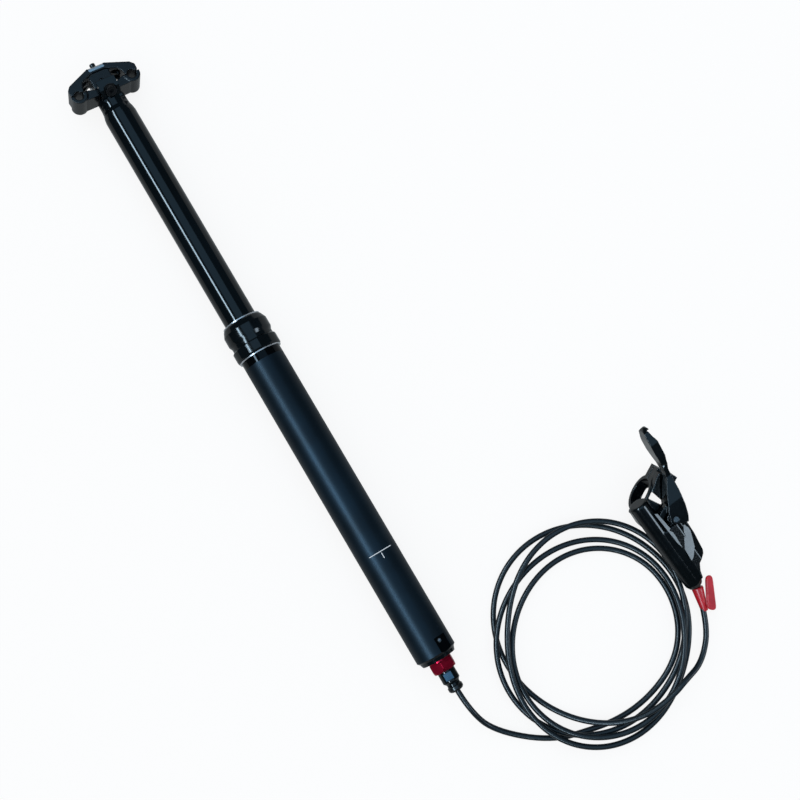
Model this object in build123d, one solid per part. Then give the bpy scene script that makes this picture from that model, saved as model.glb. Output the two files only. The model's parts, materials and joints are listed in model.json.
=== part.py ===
from build123d import *
import math
import os

# A dropper seatpost with its remote lever and coiled hydraulic hose, lying as it was photographed.
# The post lies along X. X is zero at the collar's underside, the saddle is towards +X, and +Z is up.
# Every length is in millimetres and every angle in degrees.

# Fits shared by the moving pieces
RUNNING_GAP = 0.05
PIECE_GAP = 0.4
FLOOR_Z = -18.15

# Outer tube, the half that is clamped in the bicycle frame
TUBE_RADIUS = 15.8
TUBE_BORE = 13.8
TUBE_TOP = 16.0
TUBE_END = -256.5
TUBE_CHAMFER = 1.5
TUBE_SEAT_RADIUS = 15.5
TUBE_SEAT_START = -0.8
KEYWAY_RADIUS = 14.4
KEYWAY_START = -243.0
FLAT_START = -244.0
FLAT_DEPTH = 0.9
FLAT_TURN = 37.5
SET_SCREW_SETBACK = 9.5
SET_SCREW_X = TUBE_END + SET_SCREW_SETBACK
SET_SCREW_TURN = 32.6
SET_SCREW_RADIUS = 1.5
SET_SCREW_LOW = 12.4
SET_SCREW_TOP = 14.7
SET_SCREW_SOCKET = 0.75

# Collar around the tube's upper end
COLLAR_BASE_OUTLINE = [(0, 15.5), (0, 17.2), (1.5, 18.1), (8.3, 18.1), (9.5, 16.9), (9.5, 15.5)]
COLLAR_FLAT_APOTHEM = 17.6
COLLAR_SIDES = 6
COLLAR_CAP_OUTLINE = [
    (9.5, 15.5), (9.5, 16.5), (12.6, 16.5), (15.2, 17.7), (22.4, 17.7), (26.4, 15.9), (27.5, 15.0),
    (27.5, 14.5), (16.0, 14.5), (16.0, 15.5),
]
TRIM_RING_BASE = (-0.8, 0.0, 17.0, 15.5)
TRIM_RING_TOP = (27.5, 28.3, 15.0, 13.8)
WIPER_OUTLINE = [
    (16.4, 12.55), (16.4, 14.5), (27.5, 14.5), (27.5, 13.6), (28.9, 12.9), (28.9, 12.55),
    (26.5, 12.55), (25.8, 13.1), (19.4, 13.1), (18.7, 12.55),
]
UPPER_BUSHING = (-14.0, 15.5)

# Lower end of the outer tube
CAP_PLUG_START = -243.0
CAP_FLANGE_RADIUS = 14.3
CAP_FLANGE_END = -259.3
CAP_END_RADIUS = 13.25
O_RING = (-251.5, -249.5, 12.6)
COUPLER_NUT_OUTLINE = [
    (-268.6, 6.7), (-268.6, 8.5), (-266.0, 9.8), (-261.6, 9.8), (-260.7, 8.9), (-259.3, 8.9), (-259.3, 6.7),
]
COUPLER_NUT_APOTHEM = 8.6
COUPLER_NUT_SIDES = 6
COUPLER_OUTLINE = [
    (-259.3, 4.05), (-259.3, 6.7), (-277.2, 6.7), (-278.2, 5.7), (-279.3, 5.0), (-281.0, 5.0),
    (-281.0, 1.2), (-266.0, 1.2), (-266.0, 4.05),
]
COUPLER_FLAT = (-276.0, -270.2)
COUPLER_FLAT_HEIGHT = 5.8
GLAND_OUTLINE = [
    (-281.0, 1.2), (-281.0, 5.2), (-281.6, 5.8), (-283.9, 5.8), (-285.0, 5.0), (-285.6, 3.6), (-285.6, 2.1),
    (-283.4, 2.1), (-283.4, 1.2),
]

# Hydraulic lock inside
SHAFT_RADIUS = 5.0
SHAFT_BORE = 3.2
SHAFT_BORE_TOP = -42.0
SHAFT_THROAT = 1.9
SHAFT_LOW = -257.0
SHAFT_TOP = -34.0
SHAFT_PORT_X = -46.0
SHAFT_PORT_RADIUS = 1.0
SHAFT_PORTS = 4
MAIN_PISTON_OUTLINE = [
    (-40.0, 5.0), (-40.0, 9.95), (-35.5, 9.95), (-35.5, 8.6), (-32.5, 8.6), (-32.5, 9.95), (-28.0, 9.95),
    (-28.0, 4.1), (-31.0, 1.9), (-34.0, 1.9), (-34.0, 5.0),
]
PISTON_RING = (-35.5, -32.5, 9.96, 8.6)
POPPET_OUTLINE = [
    (-36.0, 0), (-36.0, 1.5), (-31.0, 1.5), (-30.9, 1.8), (-28.2, 3.8), (-27.0, 3.8), (-27.0, 0),
]
ROD_RADIUS = 1.5
ROD_LOW = -260.2
ROD_COLLAR = (-62.0, -59.0)
ROD_COLLAR_RADIUS = 3.0
POPPET_SPRING = (-58.6, -42.4)
POPPET_SPRING_RADIUS = 2.3
POPPET_SPRING_WIRE = 0.4
POPPET_SPRING_TURNS = 5
SLAVE_PISTON = (-265.7, -260.2)
SLAVE_RADIUS = 4.0

# Upper post, the half that slides, with the forged head in one piece with it
POST_RADIUS = 12.5
POST_OUTLINE = [
    (-60.0, 10.0), (-60.0, 12.5), (211.0, 12.5), (214.0, 12.1), (217.5, 11.2), (221.5, 10.85),
    (227.0, 10.85), (227.0, 4.0), (208.0, 4.0), (202.0, 10.0),
]
LOWER_BUSHING = (-60.0, -50.0)
KEY_SPAN = (-47.0, -16.5)
KEY_WIDTH = 3.0
KEY_RADII = (11.7, 14.3)
KEYS = 3
KEY_TURN = 60.0
SEAL_HEAD_OUTLINE = [
    (-60.0, 5.05), (-60.0, 10.0), (-49.0, 10.0), (-49.0, 8.8), (-47.0, 8.8), (-47.0, 6.2), (-50.0, 5.6),
    (-52.0, 5.05),
]
FLOATING_PISTON_OUTLINE = [
    (106.0, 0), (106.0, 9.95), (110.0, 9.95), (110.0, 8.7), (113.0, 8.7), (113.0, 9.95),
    (120.0, 9.95), (120.0, 7.5), (110.5, 5.5), (110.5, 0),
]
FLOATING_RING = (110.0, 113.0, 9.96, 8.7)
AIR_VALVE_OUTLINE = [(209.0, 0.8), (209.0, 4.0), (217.0, 4.0), (217.0, 3.0), (226.2, 3.0), (226.2, 0.8)]
VALVE_CAP_OUTLINE = [
    (219.0, 3.0), (219.0, 3.7), (228.4, 3.7), (229.0, 3.1), (229.0, 0), (226.6, 0), (226.6, 3.0),
]

# Saddle clamp, drawn in the head's own frame: across the rails, along the rails, along the post
RAIL_X = 235.3
HEAD_ROLL = 18.0
RAIL_RADIUS = 3.5
RAIL_OFFSET = 22.0
CUP_RADIUS = 6.3
CUP_REACH = 10.0
LIP_HEIGHT = 1.0
HEAD_HALF_WIDTH = 7.4
HEAD_OUTLINE = [
    (-16.0, 2.5), (-16.0, -6.4), (-9.5, -11.0), (-9.5, -13.0),
    (9.5, -13.0), (9.5, -11.0), (16.0, -6.4), (16.0, 2.5),
]
HEAD_CORNER = 0.8
TROUGH_RADIUS = 20.0
TROUGH_HEIGHT = 14.5
CRADLE_FIT = 0.03
VALVE_BORE = 4.0
CRADLE_OUTLINE = [
    (-22.0, -4.8), (-22.0, -1.0), (-15.6, 2.0), (-7.8, -0.5), (7.8, -0.5), (15.6, 2.0), (22.0, -1.0),
    (22.0, -4.8), (17.0, -5.6), (7.8, -5.6), (7.8, -4.6), (-7.8, -4.6), (-7.8, -5.6), (-17.0, -5.6),
]
CRADLE_REACH = 9.2
CRADLE_MIDDLE = 7.8
CRADLE_SLOT = (3.0, 4.9, 11.0)
CLAMP_OUTLINE = [
    (-6.4, 17.0), (6.4, 17.0), (25.0, 9.6), (27.8, 6.4), (27.6, 2.0), (26.0, 1.4),
    (17.2, 1.4), (16.4, 5.2), (14.5, 8.6), (5.5, 12.4), (-5.5, 12.4), (-14.5, 8.6),
    (-16.4, 5.2), (-17.2, 1.4), (-26.0, 1.4), (-27.6, 2.0), (-27.8, 6.4), (-25.0, 9.6),
]
CLAMP_CORNER = 0.9
CLAMP_REACH = 10.0
CLAMP_HUB = (16.8, 16.0, 12.7)
CLAMP_HUB_LOW = 0.3
CLAMP_FACET = (12.8, 2.4)
BOSS_CENTRE = (0.5, 5.0)
BOSS_RADIUS = 2.2
BOSS_TOP = 21.0
BOLT_TILT = 35.0
NUT_CENTRE = (3.9, 7.4)
NUT_RADIUS = 3.5
NUT_HALF = 8.4
BOLT_SEAT = 16.3
BOLT_BEYOND = 1.5
BOLT_RADIUS = 2.5
BOLT_HOLE = 2.8
BOLT_HEAD_RADIUS = 4.0
BOLT_HEAD_HEIGHT = 3.2
BOLT_SOCKET = 2.1
BOLT_SOCKET_DEPTH = 2.0
BOLT_SIDES = 6
WASHER_RADIUS = 4.5
WASHER_HEIGHT = 0.8
COUNTERBORE_RADIUS = 5.2
COUNTERBORE_LENGTH = 9.0

# Remote, drawn in its own frame: along the body, across it, and up from the handlebar's axis
REMOTE_ORIGIN = (-250.0, -198.6, -9.4)
REMOTE_TURN = -173.25
REMOTE_TILT = 19.5
BODY_AXIS = (-17.4, 19.5)
BODY_OUTLINE = [
    (-24.7, 0), (-24.7, 6.0), (-23.5, 7.2), (46.5, 7.2), (51.0, 6.9), (54.0, 5.6), (55.0, 4.2), (55.0, 0),
]
BODY_BORE = 3.5
BODY_BORE_SPAN = (9.0, 46.0)
BODY_CHANNEL = 1.2
UNDERCUT_START = 26.0
UNDERCUT_DEPTH = 4.8
UNDERCUT_TURN = 135.0
REMOTE_HEIGHT = 2 * BODY_AXIS[1]
BLOCK_OUTLINE = [
    (3.0, -17.0), (3.0, 3.0), (8.0, 4.3), (19.5, 3.8), (34.0, 1.7), (36.2, 0.3), (39.4, -6.4), (44.2, -9.2),
    (49.5, -10.6), (51.0, -17.0),
]
BLOCK_SECTION = [
    (-15.0, 11.5), (1.0, 11.5), (4.5, 15.0), (4.5, 20.6), (-3.5, 25.2), (-11.0, 26.6), (-15.0, 26.6),
]
BLOCK_CORNER = 0.8
BLOCK_SPAN = (0.0, 52.0)
PIVOT = (0.0, -2.0)
LUG_RADIUS = 5.6
LUG_SPAN = (17.5, 23.5)
LUG_LENGTH = 12.0
PIVOT_BUSH = 3.0
PIVOT_PIN = 2.0
BAR_TURN = 26.0
BAR_FACE = (-21.6, -8.8)
BAR_BORE = 11.1
RING_RADIUS = 14.2
RING_WIDTH = 8.4
EAR_WIDTH = 17.0
EAR_REACH = 22.7
EAR_START = 10.0
EAR_TOP = 7.6
EAR_LOW = -6.0
SPLIT_GAP = 0.4
RING_PLAN = [(-17.5, 0.0), (23.5, 0.0), (23.5, 17.0), (14.0, 17.0), (4.0, 8.4), (-17.5, 8.4)]
RING_SPAN = (-15.0, 15.0)
BAR_CLEARANCE = (-20.0, 60.0)
HINGE_OFFSET = -14.3
HINGE_RADIUS = 2.4
HINGE_PIN = 1.1
HINGE_SPAN = (2.9, 5.5)
HINGE_GAP = 0.15
HINGE_CLEAR = 2.6
SCREW_OFFSET = 18.4
SCREW_RADIUS = 2.0
SCREW_HEAD_RADIUS = 3.4
SCREW_HEAD_SPAN = (-6.0, -2.8)
SCREW_TOP = 7.0
SCREW_SOCKET = 1.6
SCREW_SOCKET_DEPTH = 2.0
WINDOW = [(-22.3, -3.0), (-20.0, -8.1), (-9.0, -2.6), (-12.0, -0.9)]
WINDOW_CORNER = 0.7
WINDOW_SPAN = (3.0, 16.0)
UPPER_ARM = [
    (-22.3, -3.0), (-28.6, 5.3), (-30.4, 9.2), (-24.0, 13.0), (-10.0, 11.0), (4.0, 4.6),
    (16.0, 3.6), (16.0, -14.0), (2.0, -14.0), (-4.0, -8.0), (-9.0, -2.6), (-12.0, -0.9),
]
UPPER_ARM_SPAN = (5.0, 13.6)
LOWER_ARM = [
    (-17.0, -23.8), (-6.0, -24.2), (2.0, -16.0), (2.0, -10.0),
    (-4.0, -8.0), (-9.0, -2.6), (-20.0, -8.1), (-21.4, -13.8),
]
LOWER_ARM_SPAN = (4.0, 17.0)
LEVER_OUTLINE = [
    (1.2, -6.9), (-7.4, -3.8), (-19.8, 3.1), (-28.4, 9.2), (-33.3, 10.9), (-39.2, 11.5), (-50.7, 11.7),
    (-60.3, 12.7), (-67.6, 14.4), (-69.5, 17.2), (-67.4, 19.3), (-53.0, 19.1), (-43.6, 17.8), (-34.3, 14.3),
    (-30.9, 14.0), (-16.7, 12.1), (-4.9, 9.7), (2.7, 7.2), (7.4, 4.5),
]
LEVER_CORNER = 0.7
LEVER_SIDE = [
    (9.0, 14.6), (9.0, 26.8), (-12.0, 26.8), (-29.5, 24.6), (-36.5, 26.2), (-46.0, 29.4), (-58.0, 30.0),
    (-66.5, 26.6), (-69.6, 20.6), (-66.5, 14.6), (-58.0, 11.2), (-46.0, 11.8), (-36.5, 14.8), (-29.5, 16.4),
    (-12.0, 14.6),
]
LEVER_SIDE_CORNER = 2.0
LEVER_SIDE_SPAN = (-24.0, 12.0)
SPOON_RADIUS = 16.0
SPOON_CENTRE = (32.6, 20.6)
SPOON_SPAN = (-66.0, -38.0)
SPOON_TURN = -4.0
BEVEL_POINT = (-7.4, -3.8, 26.8)
BEVEL_TURN = 150.0
BEVEL_TILT = -24.0
BEVEL_SIZE = (52.0, 40.0, 20.0)
BEVEL_SHIFT = 10.0
FORK_GAP = 0.3
FORK_SPAN = (LUG_SPAN[0] - FORK_GAP, LUG_SPAN[1] + FORK_GAP)
FORK_RADIUS = 6.2
FINGER_OUTLINE = [
    (-13.0, 3.0), (-10.5, -6.0), (-7.0, -12.5), (-3.2, -18.6), (-0.4, -19.6), (1.8, -17.4), (0.6, -15.2),
    (-2.2, -11.5), (-4.6, -8.0), (-7.2, -3.0), (-7.4, 1.0),
]
FINGER_GAP = 0.5
FINGER_SPAN = (LUG_SPAN[0] + FINGER_GAP, LUG_SPAN[1] - FINGER_GAP)
NOSE_CENTRE = (-0.4, -17.4)
NOSE_RADIUS = 2.2
LEVER_THROW = 14.5
THROW_STEPS = 3
SWEEP_GAP = 0.4
LEVER_CLEAR_SPAN = (14.2, 30.0)
PUSH_ROD = (2.0, 12.0)
PUSH_ROD_RADIUS = 1.8
PUSH_HEAD = (2.0, 4.0)
PUSH_HEAD_RADIUS = 2.6
PLUNGER_OUTLINE = [
    (12.0, 0), (12.0, 3.45), (18.0, 3.45), (18.0, 2.5), (20.0, 2.5), (20.0, 3.45), (23.0, 3.45), (23.0, 1.6),
    (25.0, 1.6), (25.0, 0),
]
PLUNGER_SEAL = (18.0, 20.0, 3.46, 2.5)
PLUNGER_SPRING = (23.4, 45.4)
PLUNGER_SPRING_RADIUS = 2.6
PLUNGER_SPRING_WIRE = 0.4
PLUNGER_SPRING_TURNS = 6
BLEED_POINT = (33.0, -13.0)
BLEED_RADIUS = 2.2
BLEED_SPAN = (11.8, 15.4)
BLEED_PORT = (33.0, -14.2)
BLEED_PORT_RADIUS = 0.6
BLEED_SOCKET = 1.0

# Hose
HOSE_RADIUS = 2.1
PORT_POINT = (-310.0, -188.6, -9.4)
PORT_DIRECTION = (-0.9667, 0.2148, -0.1392)
HOSE_NUT_RADIUS = 3.2
HOSE_NUT_LENGTH = 4.0
HOSE_NUT_BORE = 1.2
LEAD_POINTS = [
    (-283.4, 0.0, 0.0), (-301.23, 0.0, 0.0), (-326.32, -6.8, -14.72), (-354.32, -39.88, -16.05),
    (-362.92, -75.25, -16.05),
]
END_POINTS = [
    (-310.0, -188.6, -9.4), (-337.68, -182.45, -13.39), (-359.1, -163.75, -10.13), (-363.01, -144.69, -2.35),
    (-366.82, -134.34, -2.35),
]
BEND_SHARE = 0.45

# Coil: its radius changes slowly round each turn, as in the photograph. Each row holds one turn's mean
# radius and the weights of the cosine, the sine, the cosine of twice the angle and the sine of twice it.
COIL_CENTRE = (-302.0, -106.0)
COIL_START_ANGLE = 153.217
COIL_TURNS = 4.14
COIL_ROWS = [
    (62.5, -6.5, 12.0, -6.5, 2.0),
    (66.0, -7.5, 0.0, 0.5, -3.0),
    (70.0, -0.5, 4.0, -2.0, -3.0),
    (75.0, -1.5, -3.0, 3.0, -7.5),
    (72.5, 6.5, -3.5, 2.5, 1.5),
]
COIL_FIRST_SEAM = 0.25
COIL_SEAM_WIDTH = 0.3
COIL_LIFTS = [0, 0.23, 0.26, 3.54, 9.16, 8.8, 1.48, 4.94, 4.53, 4.08, 6.92, 9.31, 9.86, 0, 0, 0, 0.43, 13.7]
COIL_CHECKS = 1600

# Shipping tag on the hose
TAG_OUTLINE = [(1.5, 2.1), (1.5, 4.1), (2.6, 4.3), (16.0, 2.9), (18.0, 2.65), (18.0, 2.1)]
TAG_FLAP = [(13.5, 1.6), (-6.0, 9.2), (-7.2, 10.6), (-5.0, 13.2), (18.0, 7.9), (18.0, 2.6)]
TAG_FLAP_SPAN = (-0.6, 0.6)
TAG_MOUTH_START = 15.0
TAG_MOUTH_RADIUS = 2.25


def save(shape, name):
    """Write one piece, or one group of alike pieces, as a STEP file."""
    export_step(shape, "parts/" + name + ".step")


def turned(outline):
    """Turn a closed outline of (x, radius) points about the post's axis."""
    face = make_face(Polyline(*outline, close=True))
    return revolve(face, axis=Axis.X)


def rod(start, end, radius):
    """A plain round bar along X."""
    return turned([(start, 0), (end, 0), (end, radius), (start, radius)])


def ring(start, end, outer, inner):
    """A plain ring about the X axis."""
    return turned([(start, inner), (end, inner), (end, outer), (start, outer)])


def prism(plane, outline, low, high, corner=0):
    """Raise a closed outline drawn on a plane from one height above the plane to another."""
    face = make_face(Polyline(*outline, close=True))
    if corner:
        face = fillet(face.vertices(), corner)
    solid = extrude(face, amount=high - low, dir=(0, 0, 1))
    return solid.moved(plane.location * Location((0, 0, low)))


def column(plane, centre, radius, low, high):
    """A round column that stands on a plane."""
    solid = Cylinder(radius, high - low, align=(Align.CENTER, Align.CENTER, Align.MIN))
    return solid.moved(plane.location * Location((centre[0], centre[1], low)))


def hexagon(plane, radius, low, high):
    """A six-sided column that stands on a plane, for sockets."""
    face = RegularPolygon(radius, BOLT_SIDES)
    solid = extrude(face, amount=high - low, dir=(0, 0, 1))
    return solid.moved(plane.location * Location((0, 0, low)))


def spring(start, end, radius, wire, turns):
    """A coil spring along X, one wire swept along a helix."""
    pitch = (end - start - 2 * wire) / turns
    helix = Helix(pitch, pitch * turns, radius, center=(0, 0, 0), direction=(0, 0, 1))
    section = Plane(origin=helix @ 0, z_dir=helix % 0) * Circle(wire)
    coil = sweep(section, path=helix)
    return coil.moved(Location((start + wire, 0, 0), (0, 90, 0)))


def around_post(shape, count, first_turn=0):
    """Copies of a shape, spaced evenly about the post's axis."""
    step = 360 / count
    return [Rot(first_turn + step * index, 0, 0) * shape for index in range(count)]


# Outer tube and what is fixed to it

def radial_plane(x, turn):
    """A plane on the post's axis whose normal points out at a turn from straight up, towards -Y."""
    angle = math.radians(turn)
    return Plane(origin=(x, 0, 0), x_dir=(1, 0, 0), z_dir=(0, -math.sin(angle), math.cos(angle)))


def key_blank(width, low, high, start, end):
    """A straight block along X at the top of the post, before it is turned to its place."""
    left = min(start, end)
    blank = Box(abs(end - start), width, high - low, align=(Align.MIN, Align.CENTER, Align.MIN))
    return blank.moved(Location((left, 0, low)))


def outer_tube():
    """The tube with its collar seat, its keyways, its end chamfer and the milled flat near the end."""
    wall = turned([
        (TUBE_TOP, TUBE_BORE), (TUBE_TOP, TUBE_SEAT_RADIUS), (TUBE_SEAT_START, TUBE_SEAT_RADIUS),
        (TUBE_SEAT_START, TUBE_RADIUS), (TUBE_END + TUBE_CHAMFER, TUBE_RADIUS),
        (TUBE_END, TUBE_RADIUS - TUBE_CHAMFER), (TUBE_END, TUBE_BORE),
    ])
    keyway = key_blank(KEY_WIDTH + 2 * RUNNING_GAP, 0, KEYWAY_RADIUS, KEYWAY_START, TUBE_TOP)
    wall -= around_post(keyway, KEYS, KEY_TURN)
    flat = key_blank(TUBE_RADIUS, TUBE_RADIUS - FLAT_DEPTH, TUBE_RADIUS, FLAT_START, TUBE_END)
    wall -= Rot(FLAT_TURN, 0, 0) * flat
    plane = radial_plane(SET_SCREW_X, SET_SCREW_TURN)
    return wall - column(plane, (0, 0), SET_SCREW_RADIUS, SET_SCREW_LOW, TUBE_RADIUS)


def set_screw():
    """The small screw that locks the bottom cap, with its socket."""
    plane = radial_plane(SET_SCREW_X, SET_SCREW_TURN)
    body = column(plane, (0, 0), SET_SCREW_RADIUS, SET_SCREW_LOW, SET_SCREW_TOP)
    return body - hexagon(plane, SET_SCREW_SOCKET, SET_SCREW_TOP - SET_SCREW_SOCKET, TUBE_RADIUS)


def flats(body, start, end, apothem, sides, outer):
    """Cut flats round a turned body between two places along X."""
    cutter = Box(end - start, 2 * outer, outer, align=(Align.MIN, Align.CENTER, Align.MIN))
    cutter = cutter.moved(Location((start, 0, apothem)))
    return body - around_post(cutter, sides, 180 / sides)


def collar_base():
    """The threaded ring below the cap, with six wrench flats."""
    body = turned(COLLAR_BASE_OUTLINE)
    start = COLLAR_BASE_OUTLINE[0][0]
    end = COLLAR_BASE_OUTLINE[-1][0]
    return flats(body, start, end, COLLAR_FLAT_APOTHEM, COLLAR_SIDES, TUBE_RADIUS)


def upper_bushing():
    """The long plain bushing that the upper post slides in."""
    return ring(UPPER_BUSHING[0], UPPER_BUSHING[1], TUBE_BORE, POST_RADIUS + RUNNING_GAP)


def bottom_cap():
    """The plug that closes the outer tube and carries the piston shaft."""
    bore = SLAVE_RADIUS + RUNNING_GAP
    body = turned([
        (CAP_PLUG_START, SHAFT_RADIUS), (CAP_PLUG_START, TUBE_BORE), (TUBE_END, TUBE_BORE),
        (TUBE_END, CAP_FLANGE_RADIUS), (CAP_FLANGE_END, CAP_END_RADIUS), (CAP_FLANGE_END, bore),
        (SHAFT_LOW, bore), (SHAFT_LOW, SHAFT_RADIUS),
    ])
    body -= ring(O_RING[0], O_RING[1], TUBE_BORE, O_RING[2])
    plane = radial_plane(SET_SCREW_X, SET_SCREW_TURN)
    return body - column(plane, (0, 0), SET_SCREW_RADIUS, SET_SCREW_LOW, TUBE_RADIUS)


def coupler_nut():
    """The red nut that holds the hose coupler on the bottom cap."""
    body = turned(COUPLER_NUT_OUTLINE)
    start = COUPLER_NUT_OUTLINE[0][0]
    end = COUPLER_NUT_OUTLINE[-1][0]
    return flats(body, start, end, COUPLER_NUT_APOTHEM, COUPLER_NUT_SIDES, TUBE_RADIUS)


def hose_coupler():
    """The black barrel that holds the slave piston, with a flat for a wrench."""
    body = turned(COUPLER_OUTLINE)
    return body - key_blank(TUBE_RADIUS, COUPLER_FLAT_HEIGHT, TUBE_RADIUS, *COUPLER_FLAT)


def piston_shaft():
    """The hollow shaft that stands on the bottom cap, with oil ports below the main piston."""
    body = turned([
        (SHAFT_LOW, SHAFT_BORE), (SHAFT_LOW, SHAFT_RADIUS), (SHAFT_TOP, SHAFT_RADIUS),
        (SHAFT_TOP, SHAFT_THROAT), (SHAFT_BORE_TOP, SHAFT_THROAT), (SHAFT_BORE_TOP, SHAFT_BORE),
    ])
    port = column(Plane.XY, (SHAFT_PORT_X, 0), SHAFT_PORT_RADIUS, 0, TUBE_BORE)
    return body - around_post(port, SHAFT_PORTS)


def actuator_rod():
    """The thin rod inside the shaft, with the collar that its spring pushes on."""
    body = rod(ROD_LOW, POPPET_OUTLINE[0][0], ROD_RADIUS)
    return body + rod(ROD_COLLAR[0], ROD_COLLAR[1], ROD_COLLAR_RADIUS)


# Sliding half

def head_plane():
    """The saddle clamp's frame: across the rails, along the rails and along the post."""
    roll = math.radians(HEAD_ROLL)
    return Plane(origin=(RAIL_X, 0, 0), x_dir=(0, math.cos(roll), math.sin(roll)), z_dir=(1, 0, 0))


def bolt_plane(side):
    """A plane at a bolt's seat whose normal points out along the bolt, towards its head."""
    tilt = math.radians(BOLT_TILT)
    seat_reach = NUT_CENTRE[0] + BOLT_SEAT * math.sin(tilt)
    seat_height = NUT_CENTRE[1] - BOLT_SEAT * math.cos(tilt)
    return Plane(
        origin=(0, side * seat_reach, seat_height),
        x_dir=(1, 0, 0),
        z_dir=(0, side * math.sin(tilt), -math.cos(tilt)),
    )


def head_block():
    """The forged block that carries the cradle's trough and both bolt seats."""
    block = prism(Plane.YZ, HEAD_OUTLINE, -HEAD_HALF_WIDTH, HEAD_HALF_WIDTH, HEAD_CORNER)
    block -= column(Plane.YZ, (0, TROUGH_HEIGHT), TROUGH_RADIUS, -TUBE_RADIUS, TUBE_RADIUS)
    return block


def bolt_cuts():
    """The clearance holes and counterbores for both clamp bolts."""
    cuts = []
    for side in (-1, 1):
        plane = bolt_plane(side)
        cuts.append(column(plane, (0, 0), BOLT_HOLE, -BOLT_SEAT, BOLT_HEAD_HEIGHT))
        cuts.append(column(plane, (0, 0), COUNTERBORE_RADIUS, 0, COUNTERBORE_LENGTH))
    return cuts


def upper_post():
    """The sliding tube and its forged head in one solid."""
    post = turned(POST_OUTLINE)
    head = head_block() - bolt_cuts()
    head = head.moved(head_plane().location)
    post += head
    post -= [cut.moved(head_plane().location) for cut in bolt_cuts()]
    post -= rod(POST_OUTLINE[8][0], RAIL_X, VALVE_BORE)
    pocket = key_blank(KEY_WIDTH, KEY_RADII[0], TUBE_RADIUS, KEY_SPAN[0], KEY_SPAN[1])
    return post - around_post(pocket, KEYS, KEY_TURN)


def lower_bushing():
    """The bushing on the sliding tube's lower end."""
    return ring(LOWER_BUSHING[0], LOWER_BUSHING[1], TUBE_BORE - RUNNING_GAP, POST_RADIUS)


def guide_keys():
    """Three brass keys that stop the sliding tube turning."""
    key = key_blank(KEY_WIDTH, KEY_RADII[0], KEY_RADII[1], KEY_SPAN[0], KEY_SPAN[1])
    return Compound(children=[item for item in around_post(key, KEYS, KEY_TURN)])


def lower_cradle():
    """The rocker that sits in the head's trough and carries a cup under each rail."""
    body = prism(Plane.XZ, CRADLE_OUTLINE, -CRADLE_REACH, CRADLE_REACH)
    middle = Box(2 * CRADLE_MIDDLE, 2 * TUBE_RADIUS, 2 * TUBE_RADIUS)
    rocker = column(Plane.YZ, (0, TROUGH_HEIGHT), TROUGH_RADIUS - CRADLE_FIT, -CRADLE_MIDDLE, CRADLE_MIDDLE)
    body -= middle - rocker
    for side in (-1, 1):
        centre = (side * RAIL_OFFSET, 0)
        cup = column(Plane.XZ, centre, CUP_RADIUS, -CUP_REACH, CUP_REACH)
        lid = key_blank(2 * TUBE_RADIUS, LIP_HEIGHT, TUBE_RADIUS, -TUBE_RADIUS, TUBE_RADIUS)
        body += cup - lid.moved(Location((side * RAIL_OFFSET, 0, 0)))
    for side in (-1, 1):
        centre = (side * RAIL_OFFSET, 0)
        body -= column(Plane.XZ, centre, RAIL_RADIUS, -TUBE_RADIUS, TUBE_RADIUS)
    half, inner, outer = CRADLE_SLOT
    slot = Box(2 * half, outer - inner, 2 * TUBE_RADIUS, align=(Align.CENTER, Align.MIN, Align.CENTER))
    body -= slot.moved(Location((0, inner, 0)))
    body -= slot.moved(Location((0, -outer, 0)))
    return body


def upper_clamp():
    """The yoke over the rails and its hub, with cross bores for the barrel nuts and holes for the bolts."""
    body = prism(Plane.XZ, CLAMP_OUTLINE, -CLAMP_REACH, CLAMP_REACH, CLAMP_CORNER)
    hub = Box(*CLAMP_HUB, align=(Align.CENTER, Align.CENTER, Align.MIN))
    body += hub.moved(Location((0, 0, CLAMP_HUB_LOW)))
    facet = Box(CLAMP_FACET[0], CLAMP_FACET[1], CLAMP_FACET[1])
    for side in (-1, 1):
        body -= facet.moved(Location((0, side * CLAMP_REACH, CLAMP_OUTLINE[0][1]), (45, 0, 0)))
    for side in (-1, 1):
        centre = (side * RAIL_OFFSET, 0)
        body -= column(Plane.XZ, centre, RAIL_RADIUS, -TUBE_RADIUS, TUBE_RADIUS)
        body -= column(Plane.YZ, (side * NUT_CENTRE[0], NUT_CENTRE[1]), NUT_RADIUS, -TUBE_RADIUS, TUBE_RADIUS)
        plane = bolt_plane(side)
        body -= column(plane, (0, 0), BOLT_HOLE, -BOLT_SEAT - BOLT_BEYOND, 0)
    body += column(Plane.XY, BOSS_CENTRE, BOSS_RADIUS, CLAMP_OUTLINE[0][1], BOSS_TOP)
    return body


def clamp_bolts():
    """Both saddle clamp bolts, each with a hex socket in its head."""
    bolts = []
    for side in (-1, 1):
        plane = bolt_plane(side)
        bolt = column(plane, (0, 0), BOLT_RADIUS, -BOLT_SEAT - BOLT_BEYOND, WASHER_HEIGHT)
        top = WASHER_HEIGHT + BOLT_HEAD_HEIGHT
        bolt += column(plane, (0, 0), BOLT_HEAD_RADIUS, WASHER_HEIGHT, top)
        bolt -= hexagon(plane, BOLT_SOCKET, top - BOLT_SOCKET_DEPTH, top)
        bolts.append(bolt.moved(head_plane().location))
    return Compound(children=bolts)


def clamp_washers():
    """A washer under each bolt head."""
    washers = []
    for side in (-1, 1):
        plane = bolt_plane(side)
        washer = column(plane, (0, 0), WASHER_RADIUS, 0, WASHER_HEIGHT)
        washer -= column(plane, (0, 0), BOLT_RADIUS, 0, WASHER_HEIGHT)
        washers.append(washer.moved(head_plane().location))
    return Compound(children=washers)


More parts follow.
